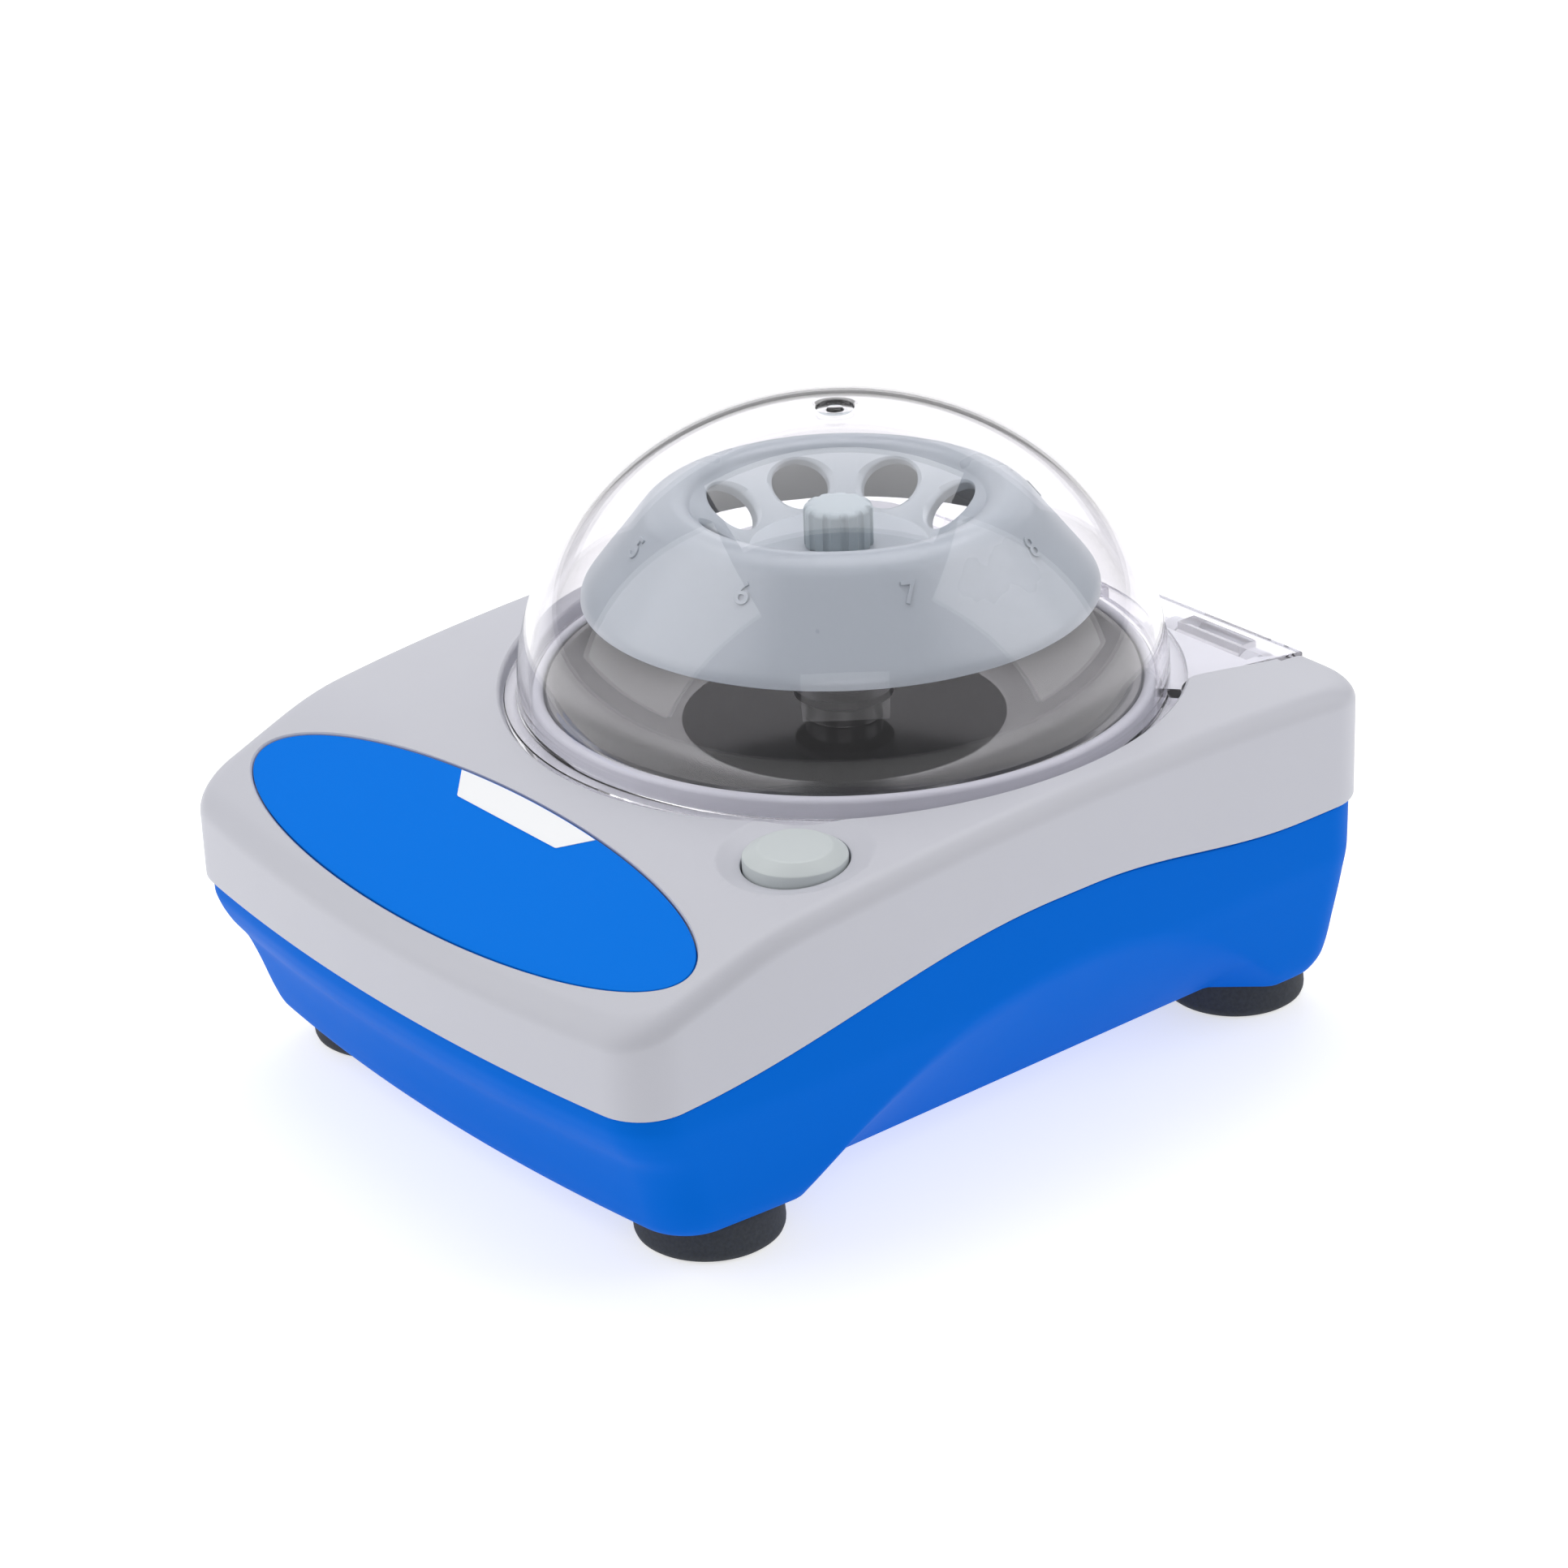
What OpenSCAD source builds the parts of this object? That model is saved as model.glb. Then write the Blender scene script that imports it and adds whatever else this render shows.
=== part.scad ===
// Laboratory mini centrifuge: eight-place rotor under a clear hinged dome.
// Millimetres, +Z up, front towards -Y, origin on the bench under the middle of the body.

/* [Body] */
// Width of the body
body_w = 145; // [142:1:150]
// Depth of the body, front to back
body_d = 180; // [178:1:184]
// Height of the underside above the bench
floor_z = 8; // [7.5:0.5:8.5]
// Wall thickness of the two housings
wall = 2.5; // [2:0.25:3]
// Highest point of the housing's crowned top
crown_z = 71.3; // [70.8:0.1:71.8]
// Slope of the front panel, rise over run
panel_slope = 0.36; // [0.33:0.01:0.38]
// Half-width of the oval panel
panel_a = 64.7; // [62:0.1:65]
// Half-length of the oval panel, along the slope
panel_b = 17.1; // [15:0.1:17.5]

/* [Lid] */
// Distance of the rotor's axis behind the body's middle
rotor_y = 20; // [19:0.5:20]
// Outer radius of the dome at its base
dome_r = 62; // [61.8:0.1:62.4]
// Height of the dome above its widest level
dome_h = 54; // [53:0.5:56]
// Wall thickness of the lid
lid_wall = 2.2; // [1.8:0.1:2.3]
// Radius of the round recess that the lid sits in
recess_r = 65.2; // [65.1:0.1:65.6]

/* [Rotor] */
// Radius of the rotor's lower rim
rotor_r = 48.7; // [47.5:0.1:49]
// Number of tube places
places = 8; // [6:1:8]
// Diameter of a tube hole
tube_d = 11.1; // [10.8:0.1:11.4]
// Angle of the first tube place
phase = 24; // [0:1:44]

/* [Button and feet] */
// Diameter of the power button's cap
button_d = 18.8; // [18:0.1:19]
// Travel of the power button
button_travel = 2; // [1.5:0.25:2]
// Radius of a rubber foot
foot_r = 13.7; // [12:0.1:14]

/* [Hidden] */
$fn = 64;

// Gaps: between parts that must not touch, around a running shaft, and around a part held tight
gap = 0.3;
run = 0.04;
grip = 0.02;

half_w = body_w / 2;
half_d = body_d / 2;
inner_floor = floor_z + wall;

front_foot = [50.7, -56.4];
rear_foot = [49.5, 75.5];
front_screw = [26, -68];
rear_screw = [28, 78.5];

// Lid and hinge levels
moat_z = 65.1;
lip_z = 70;
lip_r = 57;
lip_t = 2.2;
dome_z = 68;
flange_r = recess_r - 0.6;
flap_z = 66.9;
flap_t = 2;
bed_z = flap_z - 0.4;
hinge_y = half_d - 5;
hinge_z = 61.8;
barrel_r = 4.2;
pin_r = 1.5;
barrel_x = [26, 43];
// Pockets in the rear edge: one for each barrel and its ears, one for the lid's magnet
pocket_z = 57.2;
hinge_pocket = [21.3, 47.7, 79.9];
magnet_pocket = [-6, 6, 84.2];

// Panel plane
panel_y = -69.6;
panel_z = 60;
panel_depth = 1.4;

// Button and its switch
button_at = [52.8, -35.5];
button_z = 69.2;
button_hole_r = 9.7;
guide_z = 59;
switch_z = 38;
switch_h = 12;
switch_w = 13.2;

// Motor, shaft and rotor levels
shaft_r = 2.5;
can_r = 18.5;
can_z = [18, 48];
can_t = 1.3;
bearing_r = 5;
plate_t = 2;
mount_r = 38;
mount_angles = [90, 210, 330];
post_top = can_z[1] - 1.5;
bowl_z = 60;
bowl_floor_r = 31;
bowl_t = 1.8;
bowl_screw_r = 59.5;
well_z = 94.7;
well_r = 16.8;
hub_z = 92.2;
ring_z = 105;
hole_at = [22.1, 98.95];
hole_tilt = 38.7;

// Circuit board and power jack
board_at = [0, -42];
board_size = [56, 36, 1.6];
board_z = 16;
jack_at = [-38, 24];
wire_r = 0.7;

// ---- shape functions ----

function ease(t) = 0.5 - 0.5 * cos(180 * min(1, max(0, t)));
function arc(c, r, a0, a1, n) =
    [for (i = [0:n]) let (a = a0 + (a1 - a0) * i / n) c + r * [cos(a), sin(a)]];

// Right half of the plan outline, from the middle of the bowed front to the back
bow_r = 452;
front_corner_r = 11;
rear_corner_r = 10;
front_corner_x = half_w - 12.9;
side_front_x = front_corner_x + front_corner_r;
bow_a = asin(front_corner_x / (bow_r - front_corner_r));
front_corner_y = bow_r - half_d - (bow_r - front_corner_r) * cos(bow_a);
function side_x(y) =
    half_w - (half_w - side_front_x) * pow(max(0, -20 - y) / (-20 - front_corner_y), 2);
half_outline = concat(
    [for (i = [1:4]) [0, bow_r - half_d] + bow_r * [sin(bow_a * i / 5), -cos(bow_a * i / 5)]],
    arc([front_corner_x, front_corner_y], front_corner_r, -90 + bow_a, 0, 6),
    [for (y = [-66:8:70]) [side_x(y), y]],
    arc([half_w - rear_corner_r, half_d - rear_corner_r], rear_corner_r, 0, 90, 6),
    [[42, half_d], [21, half_d]]
);
outline = concat(
    [[0, -half_d]],
    half_outline,
    [[0, half_d]],
    [for (i = [len(half_outline) - 1:-1:0]) [-half_outline[i][0], half_outline[i][1]]]
);

// Curved seam between the two housings, seen from the side
function seam_z(y) =
    y < 12 ? 37.5 + 12.9 * ease((y + half_d) / 98) : 50.4 - 5.4 * ease((y - 17) / 54);

// Height of the top: a sloped front and a crowned top, blended where they meet
function crown(x, y) =
    crown_z - pow(y - 28, 2) / (y < 28 ? 1300 : 1700) - 0.7 * pow(x / 70, 2);
function slope(y) = panel_z + panel_slope * (y - panel_y);
function blend(a, b, k) = min(a, b) - pow(max(k - abs(a - b), 0), 2) / (4 * k);
function top_z(x, y) = blend(crown(x, y), slope(y), 1.5);

// How far the lower housing draws in from the outline at each height: front, sides, back
front_in = [[8, 12.4], [9.5, 11.6], [12, 10.8], [20, 8.3], [24.5, 6.5], [29, 3.4], [32, 1.9], [35, 1], [53, 0.8]];
side_in = [[8, 6], [9.5, 5.2], [12, 4.5], [20, 3.2], [29, 1.8], [35, 1], [53, 0.8]];
rear_in = [[8, 5.4], [9.5, 3.8], [12, 2.9], [20, 1.9], [29, 0.9], [35, 0.5], [53, 0.5]];
tub_levels = [0, 1.5, 4, 8, 12, 16.5, 21, 24, 27, 45];

// Edge of the arched cut in each side of the lower housing, and how deep the cut is
arch_y = 17;
arch_rise = 27.4;
arch_foot_x = 57;
function arch_t(y) = y < arch_y ? (arch_y - y) / 68 : (y - arch_y) / 56;
function arch_z(y) =
    arch_t(y) < 1 ? floor_z + arch_rise * cos(90 * pow(arch_t(y), 1.15)) : floor_z;
function arch_x(y, z) =
    let (top = arch_z(y), foot = arch_foot_x + 50 * max(0, arch_t(y) - 0.78))
    z >= top ? half_w : foot + (half_w - lookup(top, side_in) - foot) * (z - floor_z) / (top - floor_z);
function tub_point(p, z, inset) =
    let (
        x = abs(p[0]) * (half_w - lookup(z, side_in) - inset) / half_w,
        draw = lookup(z, p[1] < 0 ? front_in : rear_in),
        y = p[1] * (half_d - draw - inset) / half_d
    )
    [sign(p[0]) * min(x, arch_x(y, z) - inset), y, z];

// Rings of the closed shape inside or outside of the upper housing
function cap_ring(inset, fillet, a) =
    let (d = inset + fillet * (1 - cos(a)))
    [for (p = outline)
        let (x = p[0] * (half_w - d) / half_w, y = p[1] * (half_d - d) / half_d)
        [x, y, top_z(x, y) - inset - fillet * (1 - sin(a))]];
function cap_inner_ring(inset, k) = [for (p = outline) [p[0] * k, p[1] * k, top_z(p[0] * k, p[1] * k) - inset]];
function cap_base_ring(inset, z) =
    [for (p = outline) [p[0] * (half_w - inset) / half_w, p[1] * (half_d - inset) / half_d, z]];

// ---- shared solids ----

// Closed solid through rings of equal length, from the lowest up
module loft(rings) {
    n = len(rings[0]);
    last = len(rings) - 1;
    ends = [for (r = [0, last]) [for (k = [0:2]) [for (p = rings[r]) p[k]] * [for (p = rings[r]) 1 / n]]];
    low = n * (last + 1);
    polyhedron(
        concat([for (ring = rings) each ring], ends),
        concat(
            [for (r = [0:last - 1]) for (i = [0:n - 1]) let (j = (i + 1) % n, a = r * n, b = a + n)
                each [[a + i, b + i, b + j], [a + i, b + j, a + j]]],
            [for (i = [0:n - 1]) [low, i, (i + 1) % n]],
            [for (i = [0:n - 1]) [low + 1, last * n + (i + 1) % n, last * n + i]]
        )
    );
}

// Round wire through a list of points
module wire(points, r) {
    sides = 8;
    last = len(points) - 1;
    loft([for (i = [0:last])
        let (
            along = points[min(i + 1, last)] - points[max(i - 1, 0)],
            t = along / norm(along),
            helper = abs(t[2]) > 0.9 ? [0, 1, 0] : [0, 0, 1],
            u = cross(helper, t) / norm(cross(helper, t)),
            v = cross(t, u)
        )
        [for (k = [0:sides - 1]) points[i] + r * (u * cos(360 * k / sides) + v * sin(360 * k / sides))]]);
}

// Extrudes a side view, drawn as [y, z], across the body
module across(x0, x1) translate([x0, 0, 0]) rotate([90, 0, 90]) linear_extrude(x1 - x0) children();
module seam_block(z, offset) {
    across(-80, 80) polygon(concat(
        [[-95, z], [95, z]],
        [for (y = [95:-5:-95]) [y, seam_z(y) + offset]]
    ));
}
module ring(r0, r1, z0, z1) {
    translate([0, 0, z0]) difference() {
        cylinder(h = z1 - z0, r = r1);
        translate([0, 0, -1]) cylinder(h = z1 - z0 + 2, r = r0);
    }
}
module post(at, r, z0, z1) translate([at[0], at[1], z0]) cylinder(h = z1 - z0, r = r);
module both_sides() {
    children();
    mirror([1, 0, 0]) children();
}
module at_rotor() translate([0, rotor_y, 0]) children();
module around(radius, angles) for (a = angles) rotate([0, 0, a]) translate([radius, 0, 0]) children();
module on_panel() translate([0, panel_y, panel_z]) rotate([atan(panel_slope), 0, 0]) children();
module oval(a, b) polygon([for (t = [0:5:355]) [a * cos(t), b * sin(t)]]);
// Screw with a round head, standing on the underside of its head at z
module screw(z, length, r, head_r, head_h) {
    translate([0, 0, z - length]) cylinder(h = length, r = r);
    translate([0, 0, z]) difference() {
        cylinder(h = head_h, r = head_r);
        translate([0, 0, head_h * 0.45]) cylinder(h = head_h, r = head_r * 0.45, $fn = 6);
    }
}

// ---- housings ----

module cap_solid(inset, fillet, base_z) {
    loft(concat(
        [cap_base_ring(inset, base_z)],
        [for (a = [0:30:90]) cap_ring(inset, fillet, a)],
        [for (k = [0.82, 0.66, 0.5, 0.34, 0.17]) cap_inner_ring(inset, k)]
    ));
}
function flap_outline(o, back) =
    let (x = 48.5 + o + 0.21 * (back - 62))
    [[-48.5 - o, 62], [-x, back], [x, back], [48.5 + o, 62], [40, 50], [-40, 50]];

// The round seat for the lid is a node of its own, cut from the moulding at this cylinder
seat_r = recess_r + 1.4;
module seat_cut(r) at_rotor() translate([0, 0, moat_z - 2.2]) cylinder(h = 20, r = r);
module upper_housing() {
    color([0.78, 0.78, 0.82]) {
        difference() {
            upper_moulding();
            seat_cut(seat_r);
        }
        both_sides() hinge_ears();
    }
}
module lid_seat() {
    color([0.78, 0.78, 0.82]) {
        intersection() {
            upper_moulding();
            seat_cut(seat_r - grip);
        }
        spill_lip();
    }
}
module upper_moulding() {
    difference() {
        cap_solid(0, 4, 30);
        difference() {
            cap_solid(wall, 3, 29);
            at_rotor() ring(lip_r - 0.1, seat_r, moat_z - 2.1, 90);
            translate([0, 0, moat_z - 2.1]) linear_extrude(20) polygon(flap_outline(2.5, 95));
            both_sides() pocket(hinge_pocket, 1.6);
            pocket(magnet_pocket, 1.8);
            both_sides() {
                post(front_screw, 4, 39.6, 70);
                post(rear_screw, 4, 45.6, 60);
            }
            post(button_at, button_hole_r + 1.7, guide_z, 80);
            switch_ribs();
        }
        seam_block(20, 0.3);
        at_rotor() translate([0, 0, moat_z]) cylinder(h = 20, r = recess_r);
        at_rotor() translate([0, 0, 50]) cylinder(h = 40, r = lip_r);
        translate([0, 0, bed_z]) linear_extrude(20) polygon(flap_outline(0.5, 95));
        both_sides() pocket(hinge_pocket, 0);
        pocket(magnet_pocket, 0);
        across(-22, 22) polygon([[79, 65], [84.6, 65], [86.6, 64.6], [87.8, 63.6], [88.4, 62.2], [95, 61], [95, 80], [79, 80]]);
        across(-54.9, 54.9) polygon([[82, bed_z], [87.6, 65], [89, 62.4], [95, 61], [95, 80], [82, 80]]);
        both_sides() {
            post(front_screw, 1.25, 30, 50);
            post(rear_screw, 1.25, 30, 54);
        }
        post(button_at, button_hole_r, guide_z - 1, 80);
        on_panel() translate([0, 0, -panel_depth]) linear_extrude(5) oval(panel_a, panel_b);
        at_rotor() around(bowl_screw_r, [45:90:315]) translate([0, 0, 60]) cylinder(h = 3.85, r = 1.1);
    }
}
// Pocket open at the back and top; margin thickens it into the block that it is cut from
module pocket(at, margin) {
    translate([at[0] - margin, at[2] - margin, pocket_z - (margin > 0 ? wall : 0)])
        cube([at[1] - at[0] + 2 * margin, 30, 20]);
}
// Rounded lip that keeps spills out of the recess
module spill_lip() {
    r0 = lip_r + 0.15;
    r1 = lip_r + lip_t;
    at_rotor() rotate_extrude() polygon(concat(
        [[r0, moat_z - 1.2], [r1, moat_z - 1.2]],
        arc([(r0 + r1) / 2, lip_z - (r1 - r0) / 2], (r1 - r0) / 2, 0, 180, 8)
    ));
}
module hinge_ears() {
    for (x = [barrel_x[0] - 3.9, barrel_x[1] + 0.4]) difference() {
        union() {
            across(x, x + 3.5) translate([hinge_y, hinge_z]) circle(r = barrel_r);
            translate([x, hinge_y - barrel_r, pocket_z - 1]) cube([3.5, 2 * barrel_r, hinge_z - pocket_z + 1]);
        }
        across(x - 1, x + 5) translate([hinge_y, hinge_z]) circle(r = pin_r + grip);
    }
}
module switch_ribs() {
    difference() {
        union() for (side = [-1, 1]) translate([button_at[0] + side * (switch_w / 2 + 1.4), button_at[1], 0]) {
            translate([-1.3, -13, switch_z - 2]) cube([2.6, 24.4, 32]);
            translate([-1 - side * 1.5, -8, switch_z - 2]) cube([2, 16, 1.98]);
        }
        post(button_at, button_hole_r + 1.7, switch_z + switch_h + 4, guide_z);
    }
}

module tub_solid(inset, z0, z1) {
    loft([for (d = tub_levels) let (z = min(z1, max(z0, d + z0))) [for (p = outline) tub_point(p, z, inset)]]);
}
module lower_housing() {
    color([0.0, 0.42, 0.85]) difference() {
        tub_solid(0, floor_z, 60);
        difference() {
            tub_solid(wall, inner_floor, 62);
            at_rotor() around(mount_r, mount_angles) post([0, 0], 4.5, floor_z, post_top);
            both_sides() {
                post(front_screw, 4.5, floor_z, 38.6);
                post(rear_screw, 4.5, floor_z, 44.6);
                post(front_foot, 4, floor_z, 16);
                post(rear_foot, 4, floor_z, 16);
                board_posts() post([0, 0], 2.6, floor_z, board_z);
            }
        }
        difference() {
            translate([-80, -95, 30]) cube([160, 190, 40]);
            seam_block(20, -0.25);
        }
        at_rotor() around(mount_r, mount_angles) post([0, 0], 1.5 + grip, 34, 60);
        both_sides() {
            for (p = [[front_screw, 39], [rear_screw, 45]]) {
                post(p[0], 1.7, 0, p[1]);
                post(p[0], 3.2, 0, p[1] - 8);
            }
            for (p = [front_foot, rear_foot]) post(p, 1.3, 0, 15);
            board_posts() post([0, 0], 1, 11, 20);
        }
        for (y = [-16:8:16]) translate([-20, rotor_y + y - 1.5, 0]) cube([40, 3, 20]);
        translate([jack_at[0], 80, jack_at[1]]) rotate([-90, 0, 0]) cylinder(h = 20, r = 5.7);
    }
}
module board_posts() {
    for (y = [-1, 1]) translate([board_size[0] / 2 - 3.5, board_at[1] + y * (board_size[1] / 2 - 3.5), 0]) children();
}
module housing_screws() {
    color("silver") both_sides() for (p = [[front_screw, 31], [rear_screw, 37]])
        translate([p[0][0], p[0][1], p[1]]) mirror([0, 0, 1]) screw(0, 16, 1.2, 2.9, 2);
}

// ---- front panel ----

module front_panel() {
    color([0.0, 0.44, 0.85]) on_panel() translate([0, 0, -panel_depth + grip])
        linear_extrude(panel_depth - 0.25) oval(panel_a - 0.3, panel_b - 0.3);
}
module label_tab() {
    color("white") on_panel() translate([0, 0, -0.22]) linear_extrude(0.12) intersection() {
        oval(panel_a - 0.5, panel_b - 0.5);
        polygon([[-15.3, 10.4], [15.3, 10.4], [21.3, 17], [-21.3, 17]]);
    }
}

// ---- lid ----

module dome_solid(r, h, base_z) {
    at_rotor() rotate_extrude($fn = 96) polygon(concat(
        [[0, base_z]],
        [[r, base_z]],
        [for (a = [0:3:90]) [r * cos(a), dome_z + h * sin(a)]]
    ));
}
module lid() {
    color([0.85, 0.9, 0.95, 0.35]) difference() {
        union() {
            dome_solid(dome_r, dome_h, moat_z + gap);
            at_rotor() translate([0, 0, moat_z + gap]) cylinder(h = 1.7, r = flange_r);
            translate([0, 0, flap_z]) linear_extrude(flap_t) polygon(flap_outline(0, half_d - 1.4));
            both_sides() lid_barrel();
            translate([-4.4, hinge_y - 0.2, flap_z - 2.6]) cube([8.8, 3.6, 3]);
        }
        dome_solid(dome_r - lid_wall, dome_h - lid_wall, 50);
        across(-50, 50) translate([hinge_y, hinge_z]) circle(r = pin_r + 1.5 * run);
        translate([0, hinge_y + 1.6, flap_z - 3]) cylinder(h = 3.2, r = 1.2 + grip);
    }
}
module lid_barrel() {
    across(barrel_x[0], barrel_x[1]) translate([hinge_y, hinge_z]) circle(r = barrel_r);
    translate([barrel_x[0], hinge_y - 2.2, hinge_z]) cube([barrel_x[1] - barrel_x[0], 4.4, flap_z - hinge_z + 1]);
}
module hinge_pins() {
    color("silver") both_sides() across(barrel_x[0] - 4.2, barrel_x[1] + 4.2)
        translate([hinge_y, hinge_z]) circle(r = pin_r);
}
module lid_magnet() {
    color("silver") translate([0, hinge_y + 1.6, flap_z - 2.6]) cylinder(h = 2.78, r = 1.2);
}
module lid_sensor() {
    color([0.1, 0.1, 0.12]) translate([-2.2, hinge_y - 2.5, pocket_z - wall - 1.72]) cube([4.4, 3.2, 1.7]);
}

// ---- power button ----

module power_button() {
    color([0.78, 0.8, 0.8]) translate(button_at) difference() {
        union() {
            translate([0, 0, guide_z - 2]) cylinder(h = 1.6, r = button_d / 2 + 1.4);
            translate([0, 0, guide_z - 2]) cylinder(h = button_z - guide_z + 0.4, r = button_d / 2);
            translate([0, 0, button_z - 1.6]) cylinder(h = 1.6, r1 = button_d / 2, r2 = button_d / 2 - 2.6);
        }
        difference() {
            translate([0, 0, guide_z - 3]) cylinder(h = 9, r = button_d / 2 - 1.8);
            translate([0, 0, guide_z - 4]) cylinder(h = 12, r = 2.5);
        }
    }
    color([0.78, 0.8, 0.8]) translate([button_at[0], button_at[1], switch_z + switch_h + 2 + grip])
        cylinder(h = 7, r = 2.5);
}
module switch_plunger() {
    color("white") translate([button_at[0], button_at[1], switch_z + 6]) cylinder(h = switch_h - 4, r = 2.2);
}
module power_switch() {
    color([0.12, 0.12, 0.14]) difference() {
        union() {
            translate([button_at[0] - switch_w / 2 + 0.2, button_at[1] - switch_w / 2, switch_z])
                cube([switch_w - 0.4, switch_w, switch_h]);
            for (x = [-3, 3]) translate([button_at[0] + x - 0.4, button_at[1] - 1, switch_z - 4]) cube([0.8, 2, 5]);
        }
        post(button_at, 2.2 + 1.5 * run, switch_z + 3.4, 60);
    }
}
module button_spring() {
    turns = 6;
    z0 = switch_z + switch_h + 0.5;
    z1 = guide_z + 5.5;
    color("silver") translate(button_at)
        wire([for (i = [0:turns * 12]) [5.2 * cos(30 * i), 5.2 * sin(30 * i), z0 + (z1 - z0) * i / (turns * 12)]], 0.4);
}

// ---- chamber ----

function bowl_wall(r) = bowl_z + 9.3 * pow((r - bowl_floor_r) / 24.2, 1.6);
module chamber_bowl() {
    rim = lip_r - gap;
    rings = [0:3:24];
    color([0.13, 0.13, 0.14]) at_rotor() difference() {
        rotate_extrude() polygon(concat(
            [[5.6, bowl_z - bowl_t], [bowl_floor_r, bowl_z - bowl_t]],
            [for (d = [4:4:20]) [bowl_floor_r + d + 0.9, bowl_wall(bowl_floor_r + d) - bowl_t]],
            [[rim - 1.6, 66], [rim - 1.6, moat_z - 4.5], [61.4, moat_z - 4.5], [61.4, moat_z - 2.7],
             [rim, moat_z - 2.7], [rim, 69.3], [bowl_floor_r + 24.2, 69.3]],
            [for (d = [21:-3:3]) [bowl_floor_r + d, bowl_wall(bowl_floor_r + d)]],
            [[bowl_floor_r, bowl_z], [7.4, bowl_z], [7.4, bowl_z + 3.5], [5.6, bowl_z + 3.5]]
        ));
        around(bowl_screw_r, [45:90:315]) cylinder(h = 90, r = 1.3);
    }
}
module bowl_gasket() {
    color([0.2, 0.2, 0.22]) at_rotor() difference() {
        ring(lip_r + 0.3, 61.2, moat_z - 2.68, moat_z - 2.12);
        around(bowl_screw_r, [45:90:315]) cylinder(h = 90, r = 1.3);
    }
}
module bowl_screws() {
    color("silver") at_rotor() around(bowl_screw_r, [45:90:315])
        translate([0, 0, moat_z - 4.5 - grip]) mirror([0, 0, 1]) screw(0, 3.2, 1.08, 1.7, 1.2);
}

// ---- rotor and knob ----

module rotor() {
    color([0.66, 0.7, 0.72]) at_rotor() rotate([0, 0, phase]) difference() {
        rotate_extrude($fn = 96) polygon([
            [rotor_r, 86], [rotor_r - 0.1, 87], [rotor_r - 1.1, 88.8], [45, 92], [41, 96.9], [37.2, 101.6],
            [35.6, 103.3], [33.8, 104.4], [31.5, ring_z], [29.6, 104.9], [28.2, 104.2], [27.4, 103.2],
            [well_r, well_z], [shaft_r + grip, well_z], [shaft_r + grip, hub_z], [17, hub_z], [18.2, 93], [28.8, 101.5], [29.8, 102.4], [31.6, 102.9],
            [33.8, 101.9], [35.8, 100.2], [39.6, 95.6], [43.4, 90.9], [46.2, 87.4], [rotor_r - 2.2, 86]
        ]);
        around(0, [0:360 / places:359]) translate([hole_at[0], 0, hole_at[1]])
            rotate([0, -hole_tilt, 0]) translate([0, 0, -6]) cylinder(h = 14, r = tube_d / 2);
    }
}
// Sleeve under the rotor that sits on the shaft's adapter
module rotor_hub() {
    color([0.66, 0.7, 0.72]) at_rotor() rotate_extrude() polygon([
        [shaft_r + grip, hub_z - grip], [shaft_r + grip, 84.5], [5.52, 84.5], [5.52, 72], [8.4, 72], [9, 72.6],
        [9, hub_z - grip]
    ]);
}
module rotor_knob() {
    color([0.6, 0.64, 0.67]) at_rotor() difference() {
        union() {
            translate([0, 0, well_z]) cylinder(h = 7, r = 6.5);
            translate([0, 0, well_z + 7]) cylinder(h = 0.9, r1 = 6.5, r2 = 5.6);
        }
        around(6.9, [0:30:330]) translate([0, 0, well_z - 1]) cylinder(h = 12, r = 0.9, $fn = 24);
        translate([0, 0, well_z - 1]) cylinder(h = 6, r = shaft_r + grip);
    }
}
module shaft_adapter() {
    color("silver") at_rotor() difference() {
        union() {
            translate([0, 0, bowl_z - 5]) cylinder(h = 28.6, r = 4.6);
            translate([0, 0, bowl_z + 4.6]) cylinder(h = 1.5, r = 9.5);
            translate([0, 0, bowl_z + 4.6]) cylinder(h = 19.86, r = 5.5);
        }
        translate([0, 0, 40]) cylinder(h = 60, r = shaft_r + grip);
    }
}

// ---- motor ----

module motor_shaft() {
    color("silver") at_rotor() translate([0, 0, can_z[0] - 3.1]) cylinder(h = 84.2, r = shaft_r);
}
module motor_armature() {
    color([0.72, 0.45, 0.2]) at_rotor() difference() {
        union() {
            translate([0, 0, 26]) cylinder(h = 14, r = 13);
            translate([0, 0, 23.5]) cylinder(h = 19, r = 11);
            translate([0, 0, 20.6]) cylinder(h = 4, r = 4);
        }
        around(13, [0:60:300]) translate([0, 0, 20]) cylinder(h = 30, r = 1.6, $fn = 24);
        translate([0, 0, 10]) cylinder(h = 50, r = shaft_r + grip);
    }
}
module motor_magnets() {
    color([0.25, 0.25, 0.27]) at_rotor() for (a = [0, 180]) rotate([0, 0, a - 72])
        rotate_extrude(angle = 144) translate([13.6, 24]) square([3.55, 18]);
}
module motor_can() {
    color([0.7, 0.71, 0.73]) at_rotor() difference() {
        union() {
            translate([0, 0, can_z[0]]) cylinder(h = can_z[1] - can_z[0], r = can_r);
            translate([0, 0, can_z[1]]) cylinder(h = plate_t, r = 6);
        }
        translate([0, 0, can_z[0] - 1]) cylinder(h = can_z[1] - can_z[0] - 0.4, r = can_r - can_t);
        translate([0, 0, 40]) cylinder(h = 20, r = bearing_r + grip);
        around(12, [0, 180]) cylinder(h = 60, r = 1.5 + grip);
    }
}
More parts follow.
